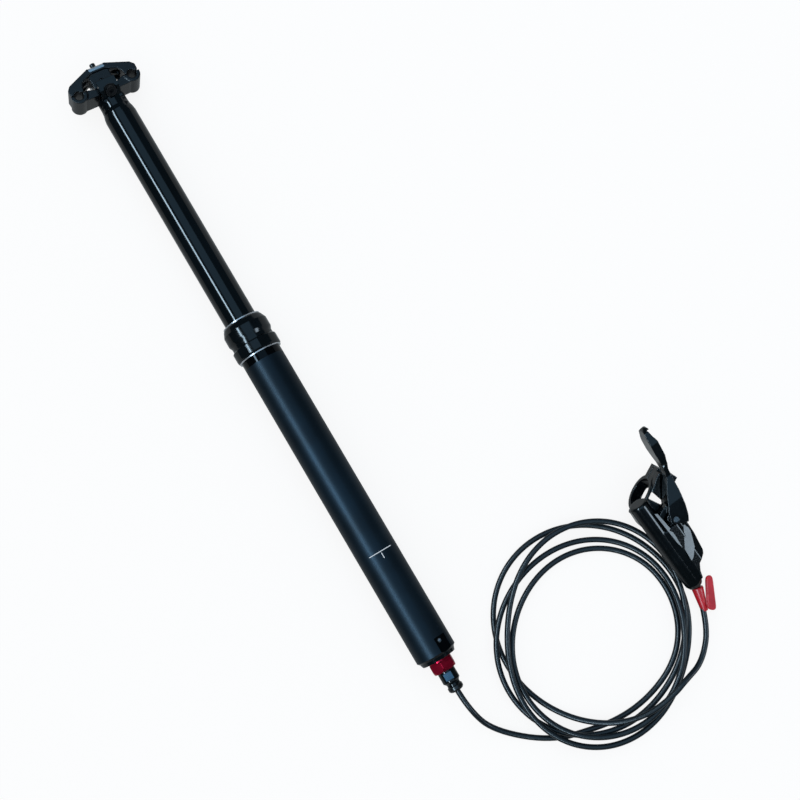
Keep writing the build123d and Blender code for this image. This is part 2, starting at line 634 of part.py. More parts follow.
def barrel_nuts():
    """The two round cross nuts that the bolts screw into."""
    nuts = []
    for side in (-1, 1):
        nut = column(Plane.YZ, (side * NUT_CENTRE[0], NUT_CENTRE[1]), NUT_RADIUS, -NUT_HALF, NUT_HALF)
        nut -= column(bolt_plane(side), (0, 0), BOLT_RADIUS, -BOLT_SEAT - 2 * NUT_RADIUS, 0)
        nuts.append(nut.moved(head_plane().location))
    return Compound(children=nuts)


# Remote

def remote_plane():
    """The remote's frame, laid on the floor on its ring and its hose end."""
    turn = math.radians(REMOTE_TURN)
    tilt = math.radians(REMOTE_TILT)
    along = Vector(math.cos(turn) * math.cos(tilt), math.sin(turn) * math.cos(tilt), -math.sin(tilt))
    across = Vector(-math.sin(turn), math.cos(turn), 0)
    return Plane(origin=REMOTE_ORIGIN, x_dir=along, z_dir=along.cross(across))


def bar_point(reach, along):
    """A plan point from its reach towards the screw ear and its place along the handlebar."""
    turn = math.radians(BAR_TURN)
    x = BAR_FACE[0] - reach * math.sin(turn) + along * math.cos(turn)
    y = BAR_FACE[1] + reach * math.cos(turn) + along * math.sin(turn)
    return (x, y)


def bar_plane():
    """A plane on the ring's outer face: towards the screw ear, up, and along the handlebar."""
    turn = math.radians(BAR_TURN)
    return Plane(
        origin=(BAR_FACE[0], BAR_FACE[1], 0),
        x_dir=(-math.sin(turn), math.cos(turn), 0),
        z_dir=(math.cos(turn), math.sin(turn), 0),
    )


def body_place():
    """The way from the X axis to the master cylinder's axis, in the remote's frame."""
    return Location((0, BODY_AXIS[0], BODY_AXIS[1]))


def body_turned(outline):
    """Turn an outline about the master cylinder's axis."""
    return turned(outline).moved(body_place())


def about_pivot(shape, turn):
    """Turn a shape about the lever's pivot."""
    centre = Location((PIVOT[0], PIVOT[1], 0))
    return shape.moved(centre * Location((0, 0, 0), (0, 0, turn)) * centre.inverse())


def swept_clearance(outline, low, high):
    """The room that an outline on the lever needs over its whole throw, with a gap round it."""
    face = make_face(Polyline(*outline, close=True))
    face = offset(face, SWEEP_GAP, kind=Kind.INTERSECTION)
    solid = extrude(face, amount=high - low, dir=(0, 0, 1)).moved(Location((0, 0, low)))
    return [about_pivot(solid, LEVER_THROW * step / THROW_STEPS) for step in range(THROW_STEPS + 1)]


def nose_clearance():
    """The room that the finger's round nose needs over the lever's throw."""
    nose = column(Plane.XY, NOSE_CENTRE, NOSE_RADIUS + SWEEP_GAP, LUG_SPAN[0], LUG_SPAN[1])
    return [about_pivot(nose, LEVER_THROW * step / THROW_STEPS) for step in range(THROW_STEPS + 1)]


def ring_half(plan, low, high):
    """The clamp ring's wall between two heights, trimmed to its plan, with the screw ear."""
    wall = column(bar_plane(), (0, 0), RING_RADIUS, 0, EAR_WIDTH)
    ear = Box(EAR_REACH - EAR_START, EAR_TOP - EAR_LOW, EAR_WIDTH, align=(Align.MIN, Align.MIN, Align.MIN))
    wall += ear.moved(bar_plane().location * Location((EAR_START, EAR_LOW, 0)))
    return wall & prism(Plane.XY, plan, low, high)


def hinge_knuckle(start, end, radius):
    """A round knuckle of the strap's hinge, or the room for one."""
    return column(bar_plane(), (HINGE_OFFSET, 0), radius, start, end)


def bar_bore():
    """The ring's grip on the handlebar, and the slightly wider room for the bar on both sides of the ring."""
    room = column(bar_plane(), (0, 0), BAR_BORE, 0, RING_WIDTH)
    room += column(bar_plane(), (0, 0), BAR_BORE + PIECE_GAP, RING_WIDTH, BAR_CLEARANCE[1])
    return room + column(bar_plane(), (0, 0), BAR_BORE + PIECE_GAP, BAR_CLEARANCE[0], 0)


def screw_plane():
    """A plane on the strap screw's axis, level with the handlebar's axis."""
    x, y = bar_point(SCREW_OFFSET, EAR_WIDTH / 2)
    return Plane(origin=(x, y, 0))


def port_plane():
    """A plane on the hose port, its normal along the hose, in the part's frame."""
    return Plane(origin=PORT_POINT, x_dir=(-PORT_DIRECTION[1], PORT_DIRECTION[0], 0), z_dir=PORT_DIRECTION)


def remote_housing():
    """The forged body: master cylinder, pivot lug, two arms, upper ring half and ear."""
    block = prism(Plane.XY, BLOCK_OUTLINE, 0, REMOTE_HEIGHT, BLOCK_CORNER)
    block &= prism(Plane.YZ, BLOCK_SECTION, BLOCK_SPAN[0], BLOCK_SPAN[1], BLOCK_CORNER)
    body = block + prism(Plane.XY, UPPER_ARM, UPPER_ARM_SPAN[0], UPPER_ARM_SPAN[1])
    body += prism(Plane.XY, LOWER_ARM, LOWER_ARM_SPAN[0], LOWER_ARM_SPAN[1])
    body += body_turned(BODY_OUTLINE)
    plan = [bar_point(*point) for point in RING_PLAN]
    body += ring_half(plan, SPLIT_GAP, RING_SPAN[1])
    for cut in swept_clearance(LEVER_OUTLINE, LEVER_CLEAR_SPAN[0], LEVER_CLEAR_SPAN[1]):
        body -= cut
    lug = key_blank(2 * LUG_RADIUS, LUG_SPAN[0], LUG_SPAN[1], 0, LUG_LENGTH)
    body += lug.moved(Location((PIVOT[0], PIVOT[1], 0)))
    body += column(Plane.XY, PIVOT, LUG_RADIUS, LUG_SPAN[0], LUG_SPAN[1])
    for cut in swept_clearance(FINGER_OUTLINE, LUG_SPAN[0], LUG_SPAN[1]) + nose_clearance():
        body -= cut
    body -= column(Plane.XY, PIVOT, PIVOT_BUSH, LUG_SPAN[0], LUG_SPAN[1])
    body -= bar_bore()
    body -= prism(Plane.XY, WINDOW, WINDOW_SPAN[0], WINDOW_SPAN[1], WINDOW_CORNER)
    body -= body_turned([(0, 0), (0, BODY_BORE), (BODY_BORE_SPAN[1], BODY_BORE), (BODY_BORE_SPAN[1], 0)])
    end = UNDERCUT_START + REMOTE_HEIGHT
    undercut = key_blank(REMOTE_HEIGHT, UNDERCUT_DEPTH, REMOTE_HEIGHT, UNDERCUT_START, end)
    body -= undercut.moved(body_place() * Location((0, 0, 0), (UNDERCUT_TURN, 0, 0)))
    body += hinge_knuckle(0, HINGE_SPAN[0] - HINGE_GAP, HINGE_RADIUS)
    body += hinge_knuckle(HINGE_SPAN[1] + HINGE_GAP, RING_WIDTH, HINGE_RADIUS)
    body -= hinge_knuckle(HINGE_SPAN[0] - HINGE_GAP, HINGE_SPAN[1] + HINGE_GAP, HINGE_CLEAR)
    body -= hinge_knuckle(0, RING_WIDTH, HINGE_PIN)
    body -= column(screw_plane(), (0, 0), SCREW_RADIUS, 0, SCREW_TOP)
    body -= column(Plane.XY, BLEED_POINT, BLEED_RADIUS, 0, BLEED_SPAN[1])
    body -= column(Plane.XY, BLEED_PORT, BLEED_PORT_RADIUS, BLEED_SPAN[1], BODY_AXIS[1])
    body = body.moved(remote_plane().location)
    port = port_plane()
    body -= column(port, (0, 0), HOSE_NUT_RADIUS, -HOSE_NUT_LENGTH, HOSE_NUT_LENGTH)
    body -= column(port, (0, 0), BODY_CHANNEL, -3 * HOSE_NUT_LENGTH, 0)
    return body


def clamp_strap():
    """The lower ring half with its knuckle and the ear for the screw head."""
    plan = [bar_point(*point) for point in RING_PLAN]
    body = ring_half(plan, RING_SPAN[0], -SPLIT_GAP)
    body += hinge_knuckle(HINGE_SPAN[0], HINGE_SPAN[1], HINGE_RADIUS)
    body -= bar_bore()
    body -= hinge_knuckle(0, HINGE_SPAN[0] - HINGE_GAP / 2, HINGE_CLEAR)
    body -= hinge_knuckle(HINGE_SPAN[1] + HINGE_GAP / 2, RING_WIDTH, HINGE_CLEAR)
    body -= hinge_knuckle(0, RING_WIDTH, HINGE_PIN)
    body -= column(screw_plane(), (0, 0), SCREW_RADIUS + RUNNING_GAP, EAR_LOW, 0)
    body -= column(screw_plane(), (0, 0), SCREW_HEAD_RADIUS + PIECE_GAP, EAR_LOW, SCREW_HEAD_SPAN[1])
    return body.moved(remote_plane().location)


def clamp_screw():
    """The strap's screw, its head sunk in the lower ear."""
    plane = screw_plane()
    body = column(plane, (0, 0), SCREW_RADIUS, SCREW_HEAD_SPAN[0], SCREW_TOP)
    body += column(plane, (0, 0), SCREW_HEAD_RADIUS, SCREW_HEAD_SPAN[0], SCREW_HEAD_SPAN[1])
    body -= hexagon(plane, SCREW_SOCKET, SCREW_HEAD_SPAN[0], SCREW_HEAD_SPAN[0] + SCREW_SOCKET_DEPTH)
    return body.moved(remote_plane().location)


def hinge_pin():
    """The pin that joins the strap and the housing."""
    return hinge_knuckle(0, RING_WIDTH, HINGE_PIN).moved(remote_plane().location)


def lever():
    """The forked lever: a bevelled arm with a spoon-shaped thumb pad and a finger for the push rod."""
    plan = prism(Plane.XY, LEVER_OUTLINE, 0, REMOTE_HEIGHT, LEVER_CORNER)
    side = prism(Plane.XZ, LEVER_SIDE, *LEVER_SIDE_SPAN, LEVER_SIDE_CORNER)
    body = plan & side
    spoon = rod(0, SPOON_SPAN[1] - SPOON_SPAN[0], SPOON_RADIUS)
    body -= spoon.moved(Location((SPOON_SPAN[0], SPOON_CENTRE[0], SPOON_CENTRE[1]), (0, 0, SPOON_TURN)))
    bevel = Box(*BEVEL_SIZE, align=(Align.CENTER, Align.CENTER, Align.MIN))
    place = Location(BEVEL_POINT, (0, 0, BEVEL_TURN)) * Location((0, 0, 0), (BEVEL_TILT, 0, 0))
    body -= bevel.moved(place * Location((BEVEL_SHIFT, 0, 0)))
    fork = key_blank(2 * FORK_RADIUS, FORK_SPAN[0], FORK_SPAN[1], 0, LUG_LENGTH)
    for step in range(THROW_STEPS + 1):
        cut = fork.moved(Location((PIVOT[0], PIVOT[1], 0)))
        body -= about_pivot(cut, -LEVER_THROW * step / THROW_STEPS)
    body -= column(Plane.XY, PIVOT, FORK_RADIUS, FORK_SPAN[0], FORK_SPAN[1])
    body += prism(Plane.XY, FINGER_OUTLINE, FINGER_SPAN[0], FINGER_SPAN[1])
    body += column(Plane.XY, NOSE_CENTRE, NOSE_RADIUS, FINGER_SPAN[0], FINGER_SPAN[1])
    body -= column(Plane.XY, PIVOT, PIVOT_PIN, 0, REMOTE_HEIGHT)
    return body.moved(remote_plane().location)


def lever_pin():
    """The pivot pin, fixed in the lever's fork."""
    pin = column(Plane.XY, PIVOT, PIVOT_PIN, LEVER_SIDE[0][1], LEVER_SIDE[1][1] - SWEEP_GAP)
    return pin.moved(remote_plane().location)


def pivot_bush():
    """The bronze bush in the housing's lug that the pin turns in."""
    body = column(Plane.XY, PIVOT, PIVOT_BUSH, LUG_SPAN[0], LUG_SPAN[1])
    body -= column(Plane.XY, PIVOT, PIVOT_PIN + RUNNING_GAP, LUG_SPAN[0], LUG_SPAN[1])
    return body.moved(remote_plane().location)


def push_rod():
    """The rod between the lever's finger and the plunger."""
    body = rod(PUSH_ROD[0], PUSH_ROD[1], PUSH_ROD_RADIUS) + rod(PUSH_HEAD[0], PUSH_HEAD[1], PUSH_HEAD_RADIUS)
    return body.moved(remote_plane().location * body_place())


def plunger_seal():
    """The seal in the plunger's groove."""
    return ring(*PLUNGER_SEAL).moved(remote_plane().location * body_place())


def plunger_spring():
    """The return spring in front of the plunger."""
    coil = spring(*PLUNGER_SPRING, PLUNGER_SPRING_RADIUS, PLUNGER_SPRING_WIRE, PLUNGER_SPRING_TURNS)
    return coil.moved(remote_plane().location * body_place())


def bleed_screw():
    """The small screw that closes the bleed port under the master cylinder."""
    body = column(Plane.XY, BLEED_POINT, BLEED_RADIUS, BLEED_SPAN[0], BLEED_SPAN[1])
    plane = Plane(origin=(BLEED_POINT[0], BLEED_POINT[1], BLEED_SPAN[0]))
    body -= hexagon(plane, BLEED_SOCKET, 0, BLEED_SOCKET)
    return body.moved(remote_plane().location)


def remote_hose_nut():
    """The nut that holds the hose in the remote."""
    port = port_plane()
    body = column(port, (0, 0), HOSE_NUT_RADIUS, -HOSE_NUT_LENGTH, 0)
    return body - column(port, (0, 0), HOSE_NUT_BORE, -HOSE_NUT_LENGTH, 0)


# Hose

def bend_radii(points):
    """The radius at each inner point that spends the same share of its shorter run."""
    radii = []
    for before, here, after in zip(points, points[1:], points[2:]):
        first = Vector(*here) - Vector(*before)
        second = Vector(*after) - Vector(*here)
        turn = math.radians(first.get_angle(second))
        radii.append(BEND_SHARE * min(first.length, second.length) / math.tan(turn / 2))
    return radii


def free_hose(points, name):
    """A free stretch of hose: straight runs joined by tangent arcs."""
    radii = bend_radii(points)
    route = FilletPolyline(*points, radius=radii)
    start = Plane(origin=route @ 0, z_dir=route % 0)
    solid = sweep(start * Circle(HOSE_RADIUS), path=route)
    expected = math.pi * HOSE_RADIUS ** 2 * route.length
    print(name, "radii", [round(radius, 1) for radius in radii], "length", round(route.length, 1))
    print(name, "volume over section times length", round(solid.volume / expected, 4))
    return solid


def ease(share):
    """A smooth step from zero to one."""
    share = max(0, min(1, share))
    return share * share * (3 - 2 * share)


def coil_radius(turn):
    """The coil's radius in plan at a number of turns from its start."""
    angle = math.radians(COIL_START_ANGLE) + 2 * math.pi * turn
    waves = (1, math.cos(angle), math.sin(angle), math.cos(2 * angle), math.sin(2 * angle))
    row = list(COIL_ROWS[0])
    for index in range(1, len(COIL_ROWS)):
        seam = COIL_FIRST_SEAM + index - 1
        weight = ease((turn - seam) / COIL_SEAM_WIDTH + 1 / 2)
        steps = [after - before for before, after in zip(COIL_ROWS[index - 1], COIL_ROWS[index])]
        row = [value + step * weight for value, step in zip(row, steps)]
    return sum(value * wave for value, wave in zip(row, waves))


def coil_point(turn):
    """A point on the coil's centreline at a number of turns from its start."""
    angle = math.radians(COIL_START_ANGLE) + 2 * math.pi * turn
    radius = coil_radius(turn)
    place = turn / COIL_TURNS * (len(COIL_LIFTS) - 1)
    index = min(int(place), len(COIL_LIFTS) - 2)
    lift = COIL_LIFTS[index] + (COIL_LIFTS[index + 1] - COIL_LIFTS[index]) * ease(place - index)
    x = COIL_CENTRE[0] + radius * math.cos(angle)
    y = COIL_CENTRE[1] + radius * math.sin(angle)
    return Vector(x, y, FLOOR_Z + HOSE_RADIUS + lift)


def coil_direction(turn):
    """The coil's level direction of travel at one of its stations."""
    step = COIL_TURNS / COIL_CHECKS
    after = coil_point(min(turn + step, COIL_TURNS))
    before = coil_point(max(turn - step, 0))
    return Vector(after.X - before.X, after.Y - before.Y, 0).normalized()


def two_arcs(start, leave, end, arrive):
    """Two tangent arcs between two points with given directions."""
    chord = end - start
    both = leave + arrive
    share = 2 * (1 - leave.dot(arrive))
    root = math.sqrt(chord.dot(both) ** 2 + share * chord.dot(chord))
    reach = (root - chord.dot(both)) / share
    first = start + leave * reach
    second = end - arrive * reach
    middle = (first + second) * (1 / 2)
    heading = (second - first).normalized()
    return [Edge.make_tangent_arc(start, leave, middle), Edge.make_tangent_arc(middle, heading, end)]


def coil_arcs():
    """The coil's centreline as pairs of arcs between equally spaced stations."""
    count = len(COIL_LIFTS) - 1
    stations = [COIL_TURNS * index / count for index in range(count + 1)]
    points = [coil_point(turn) for turn in stations]
    headings = [coil_direction(turn) for turn in stations]
    points[0] = Vector(*LEAD_POINTS[-1])
    headings[0] = (Vector(*LEAD_POINTS[-1]) - Vector(*LEAD_POINTS[-2])).normalized()
    points[-1] = Vector(*END_POINTS[-1])
    headings[-1] = (Vector(*END_POINTS[-2]) - Vector(*END_POINTS[-1])).normalized()
    arcs = []
    for index in range(count):
        arcs += two_arcs(points[index], headings[index], points[index + 1], headings[index + 1])
    return arcs


def report_least_gap(route):
    """Print the least distance between the coil's strands, taken on points along its centreline."""
    points = [route @ (index / COIL_CHECKS) for index in range(COIL_CHECKS + 1)]
    spacing = route.length / COIL_CHECKS
    skip = int(len(points) / COIL_TURNS / 4)
    least = route.length
    for index, point in enumerate(points):
        for other in points[index + skip:]:
            if abs(point.X - other.X) < least and abs(point.Y - other.Y) < least:
                least = min(least, (point - other).length)
    print("hose_coil length", round(route.length, 1), "point spacing", round(spacing, 2))
    print("hose_coil least gap to itself", round(least - 2 * HOSE_RADIUS, 2))


def hose_coil():
    """The coiled hose as one unbroken tube."""
    route = Wire(coil_arcs())
    start = Plane(origin=route @ 0, z_dir=route % 0)
    solid = sweep(start * Circle(HOSE_RADIUS), path=route)
    expected = math.pi * HOSE_RADIUS ** 2 * route.length
    print("hose_coil volume over section times length", round(solid.volume / expected, 4))
    report_least_gap(route)
    return solid


def hose_tag():
    """The shipping tag: a tapered sleeve round the hose and a flat flap joined to its tail."""
    outline = [(radius, 0, place) for place, radius in TAG_OUTLINE]
    body = revolve(make_face(Polyline(*outline, close=True)), axis=Axis.Z)
    body += prism(Plane.XZ, [(reach, place) for place, reach in TAG_FLAP], *TAG_FLAP_SPAN)
    body -= column(Plane.XY, (0, 0), HOSE_RADIUS, 0, TAG_MOUTH_START)
    body -= column(Plane.XY, (0, 0), TAG_MOUTH_RADIUS, TAG_MOUTH_START, 2 * TAG_MOUTH_START)
    return body.moved(port_plane().location)


os.makedirs("parts", exist_ok=True)

save(outer_tube(), "outer_tube")
save(set_screw(), "cap_set_screw")
save(collar_base(), "collar_base")
save(turned(COLLAR_CAP_OUTLINE), "collar_cap")
save(ring(*TRIM_RING_BASE), "trim_ring_base")
save(ring(*TRIM_RING_TOP), "trim_ring_top")
save(turned(WIPER_OUTLINE), "wiper_seal")
save(upper_bushing(), "upper_bushing")
save(bottom_cap(), "bottom_cap")
save(ring(O_RING[0], O_RING[1], TUBE_BORE, O_RING[2]), "cap_o_ring")
save(coupler_nut(), "coupler_nut")
save(hose_coupler(), "hose_coupler")
save(turned(GLAND_OUTLINE), "hose_gland")
save(piston_shaft(), "piston_shaft")
save(turned(MAIN_PISTON_OUTLINE), "main_piston")
save(ring(*PISTON_RING), "main_piston_ring")
save(turned(POPPET_OUTLINE), "poppet_valve")
save(actuator_rod(), "actuator_rod")
save(rod(SLAVE_PISTON[0], SLAVE_PISTON[1], SLAVE_RADIUS), "slave_piston")
save(spring(*POPPET_SPRING, POPPET_SPRING_RADIUS, POPPET_SPRING_WIRE, POPPET_SPRING_TURNS), "poppet_spring")
save(upper_post(), "upper_post")
save(lower_bushing(), "lower_bushing")
save(guide_keys(), "guide_keys")
save(turned(SEAL_HEAD_OUTLINE), "seal_head")
save(turned(FLOATING_PISTON_OUTLINE), "floating_piston")
save(ring(*FLOATING_RING), "floating_piston_ring")
save(turned(AIR_VALVE_OUTLINE), "air_valve")
save(turned(VALVE_CAP_OUTLINE), "valve_cap")
save(lower_cradle().moved(head_plane().location), "lower_cradle")
save(upper_clamp().moved(head_plane().location), "upper_clamp")
save(clamp_bolts(), "clamp_bolts")
save(clamp_washers(), "clamp_washers")
save(barrel_nuts(), "barrel_nuts")
save(remote_housing(), "remote_housing")
save(clamp_strap(), "clamp_strap")
save(clamp_screw(), "strap_screw")
save(hinge_pin(), "strap_hinge_pin")
save(lever(), "lever")
save(lever_pin(), "lever_pin")
save(pivot_bush(), "pivot_bush")
save(push_rod(), "push_rod")
save(body_turned(PLUNGER_OUTLINE).moved(remote_plane().location), "plunger")
save(plunger_seal(), "plunger_seal")
save(plunger_spring(), "plunger_spring")
save(bleed_screw(), "bleed_screw")
save(remote_hose_nut(), "remote_hose_nut")
save(free_hose(LEAD_POINTS, "hose_lead"), "hose_lead")
save(hose_coil(), "hose_coil")
save(free_hose(END_POINTS, "hose_end"), "hose_end")
save(hose_tag(), "hose_tag")
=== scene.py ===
import json
import logging
import math
from dataclasses import dataclass, field
from enum import Enum

import bmesh
import bpy
import numpy as np
from mathutils import Matrix, Vector

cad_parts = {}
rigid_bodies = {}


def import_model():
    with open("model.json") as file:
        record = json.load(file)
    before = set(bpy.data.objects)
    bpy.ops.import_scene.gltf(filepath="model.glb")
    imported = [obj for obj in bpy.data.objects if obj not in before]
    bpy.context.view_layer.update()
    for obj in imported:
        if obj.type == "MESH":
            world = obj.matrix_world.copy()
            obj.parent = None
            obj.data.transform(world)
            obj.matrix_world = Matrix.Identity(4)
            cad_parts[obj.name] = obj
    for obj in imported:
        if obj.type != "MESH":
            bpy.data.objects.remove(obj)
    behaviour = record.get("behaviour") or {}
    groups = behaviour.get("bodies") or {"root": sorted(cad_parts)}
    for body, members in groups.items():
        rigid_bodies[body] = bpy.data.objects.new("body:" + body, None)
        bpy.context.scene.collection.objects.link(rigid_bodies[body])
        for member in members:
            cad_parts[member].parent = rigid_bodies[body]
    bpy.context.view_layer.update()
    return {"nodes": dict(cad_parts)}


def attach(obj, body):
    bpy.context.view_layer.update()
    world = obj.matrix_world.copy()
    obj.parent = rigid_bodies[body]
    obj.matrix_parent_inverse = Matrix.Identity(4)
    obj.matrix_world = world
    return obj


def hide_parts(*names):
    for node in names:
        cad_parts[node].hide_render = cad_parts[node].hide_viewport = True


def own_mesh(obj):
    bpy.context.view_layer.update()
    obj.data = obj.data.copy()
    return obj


LOG = logging.getLogger("seatpost")
# Sizes and places are in millimetres, unless a comment says otherwise, and Blender's are in metres.
MM = 0.001
# The height of the surface on which the part lies, below the post's axis.
FLOOR_Z = -18.15


# Colours and nodes


def linear(hex_colour: str) -> tuple[float, float, float, float]:
    """Turn an sRGB hex colour to linear light.

    Args:
        hex_colour: Six hex digits, red first.

    Returns:
        Red, green, blue and an alpha of one.
    """
    parts = [int(hex_colour[start:start + 2], 16) / 255 for start in (0, 2, 4)]
    light = [part / 12.92 if part <= 0.04045 else ((part + 0.055) / 1.055) ** 2.4 for part in parts]
    return (light[0], light[1], light[2], 1.0)


def add_node(tree: bpy.types.NodeTree, kind: str, settings: dict | None = None,
             links: dict | None = None) -> bpy.types.Node:
    """Add one node with its settings and links.

    Args:
        tree: The material's or world's node tree.
        kind: The node's type.
        settings: Socket values by socket name or number, and plain properties by attribute name.
        links: Sockets to join, the new node's input by name or number to another node's output socket.

    Returns:
        The new node.
    """
    node = tree.nodes.new(kind)
    for name, value in (settings or {}).items():
        if isinstance(name, str) and hasattr(node, name):
            setattr(node, name, value)
        else:
            node.inputs[name].default_value = value
    for name, source in (links or {}).items():
        tree.links.new(source, node.inputs[name])
    return node


# Finishes

# How many times longer than wide a drawn mark and a turned mark are.
DRAWN_STRETCH = 40
TURNED_STRETCH = 60
# The values of the noise between which a broad patch, and a fine mark, turns from nought to one.
PATCH_RANGE = {1: 0.38, 2: 0.62}
MARK_RANGE = {1: 0.35, 2: 0.65}
# How far towards the highest roughness the broad patches alone go.
PATCH_ROUGHNESS = 0.9
# The outer tube's masked band starts here along the post, and only its milled flat lies below this radius.
MASKED_BAND = -6.5
MILLED_RADIUS = 15.7
MASKED_BLACK = "03070B"
MASKED_ROUGHNESS = 0.1
# Worn edges: the radius over which the normal is averaged, how well it matches the true one where the wear
# starts and where it is full, and how much of the wear the grain leaves in its gaps.
WORN_RADIUS = 0.25
WORN_MATCH = {1: 0.99, 2: 0.86}
WORN_GAPS = {1: 0.4, 2: 0.6, 3: 0.3}


class Grain(Enum):
    """How a surface was made, which sets the direction of its finest marks."""

    BLASTED = "blasted"
    DRAWN = "drawn"
    TURNED = "turned"
    MOULDED = "moulded"


@dataclass(frozen=True)
class Finish:
    """One finish, from the colour of the real material and the way its surface was made.

    Attributes:
        name: The material's name.
        colour: The usual colour, sRGB hex.
        shade: The colour of its darker patches, sRGB hex.
        metallic: One for bare metal, zero for paint, rubber and plastic, and between the two where metal
            shows through its coat.
        roughness: The lowest and highest roughness.
        ior: Index of refraction, left at 1.5 for a bare metal.
        grain: The direction of the finest marks.
        grain_mm: The spacing of the finest marks, drawn coarse enough to show.
        relief_mm: The height of the finest marks.
        patch_mm: The size of the broad patches.
        wear: The colour that shows through on worn edges, sRGB hex.
        wear_share: How much of an edge is worn, from zero to one.
        gloss_ends: Whether the tube's masked band at the collar and its milled flat are glossy.
    """

    name: str
    colour: str
    shade: str
    metallic: float = 0.0
    roughness: tuple[float, float] = (0.3, 0.4)
    ior: float = 1.5
    grain: Grain = Grain.BLASTED
    grain_mm: float = 0.4
    relief_mm: float = 0.004
    patch_mm: float = 18.0
    wear: str = "8C8F92"
    wear_share: float = 0.0
    gloss_ends: bool = False

    def grain_stretch(self) -> tuple[float, float, float]:
        """Give the grain's scale: drawn marks run along the post, and turned ones round it.

        Returns:
            The scale along x, y and z, in marks per metre.
        """
        fine = 1 / (self.grain_mm * MM)
        if self.grain is Grain.DRAWN:
            return (fine / DRAWN_STRETCH, fine, fine)
        if self.grain is Grain.TURNED:
            return (fine, fine / TURNED_STRETCH, fine / TURNED_STRETCH)
        return (fine, fine, fine)

    def build(self) -> bpy.types.Material:
        """Make the material: colour with patches and worn edges, uneven roughness and a fine relief.

        Returns:
            The finished material.
        """
        material = bpy.data.materials.new(self.name)
        material.use_nodes = True
        tree = material.node_tree
        tree.nodes.clear()
        place = add_node(tree, "ShaderNodeTexCoord").outputs["Object"]
        patches = add_node(tree, "ShaderNodeTexNoise",
                           {"Scale": 1 / (self.patch_mm * MM), "Detail": 4.0, "Roughness": 0.6},
                           {"Vector": place}).outputs["Fac"]
        stretched = add_node(tree, "ShaderNodeMapping", {"Scale": self.grain_stretch()},
                             {"Vector": place}).outputs["Vector"]
        marks = add_node(tree, "ShaderNodeTexNoise", {"Scale": 1.0, "Detail": 3.0, "Roughness": 0.7},
                         {"Vector": stretched}).outputs["Fac"]
        patch_share = add_node(tree, "ShaderNodeMapRange", PATCH_RANGE, {0: patches}).outputs[0]
        mark_share = add_node(tree, "ShaderNodeMapRange", MARK_RANGE, {0: marks}).outputs[0]
        smoothest, roughest = self.roughness
        tone = add_node(tree, "ShaderNodeMix",
                        {"data_type": "RGBA", 6: linear(self.shade), 7: linear(self.colour)},
                        {0: patch_share}).outputs[2]
        uneven = add_node(tree, "ShaderNodeMapRange",
                          {**MARK_RANGE, 3: smoothest, 4: roughest * PATCH_ROUGHNESS},
                          {0: patches}).outputs[0]
        rough = add_node(tree, "ShaderNodeMix", {"data_type": "FLOAT", 3: roughest},
                         {0: mark_share, 2: uneven}).outputs[0]
        links = {"Base Color": tone, "Roughness": rough}
        if self.gloss_ends:
            masked = self.unblasted(tree, place)
            links["Base Color"] = add_node(tree, "ShaderNodeMix",
                                           {"data_type": "RGBA", 7: linear(MASKED_BLACK)},
                                           {0: masked, 6: tone}).outputs[2]
            links["Roughness"] = add_node(tree, "ShaderNodeMix", {"data_type": "FLOAT", 3: MASKED_ROUGHNESS},
                                          {0: masked, 2: rough}).outputs[0]
        if self.wear_share:
            links["Base Color"] = self.worn(tree, tone, marks)
        links["Normal"] = add_node(tree, "ShaderNodeBump",
                                   {"Strength": 1.0, "Distance": self.relief_mm * MM},
                                   {"Height": marks}).outputs["Normal"]
        shader = add_node(tree, "ShaderNodeBsdfPrincipled",
                          {"Metallic": self.metallic, "IOR": self.ior}, links)
        add_node(tree, "ShaderNodeOutputMaterial", {}, {"Surface": shader.outputs[0]})
        return material

    def unblasted(self, tree: bpy.types.NodeTree, place: bpy.types.NodeSocket) -> bpy.types.NodeSocket:
        """Find the parts of the outer tube that were masked or cut after blasting.

        They are the band next to the collar, and what lies deeper than the tube's surface: the milled flat
        near its bottom end.

        Args:
            tree: The node tree.
            place: The point on the object.

        Returns:
            One on these parts and zero elsewhere.
        """
        parts = add_node(tree, "ShaderNodeSeparateXYZ", {}, {0: place})
        band = add_node(tree, "ShaderNodeMath", {"operation": "GREATER_THAN", 1: MASKED_BAND * MM},
                        {0: parts.outputs[0]})
        across = add_node(tree, "ShaderNodeCombineXYZ", {}, {1: parts.outputs[1], 2: parts.outputs[2]})
        depth = add_node(tree, "ShaderNodeVectorMath", {"operation": "LENGTH"}, {0: across.outputs[0]})
        deep = add_node(tree, "ShaderNodeMath", {"operation": "LESS_THAN", 1: MILLED_RADIUS * MM},
                        {0: depth.outputs["Value"]})
        return add_node(tree, "ShaderNodeMath", {"operation": "MAXIMUM"},
                        {0: band.outputs[0], 1: deep.outputs[0]}).outputs[0]

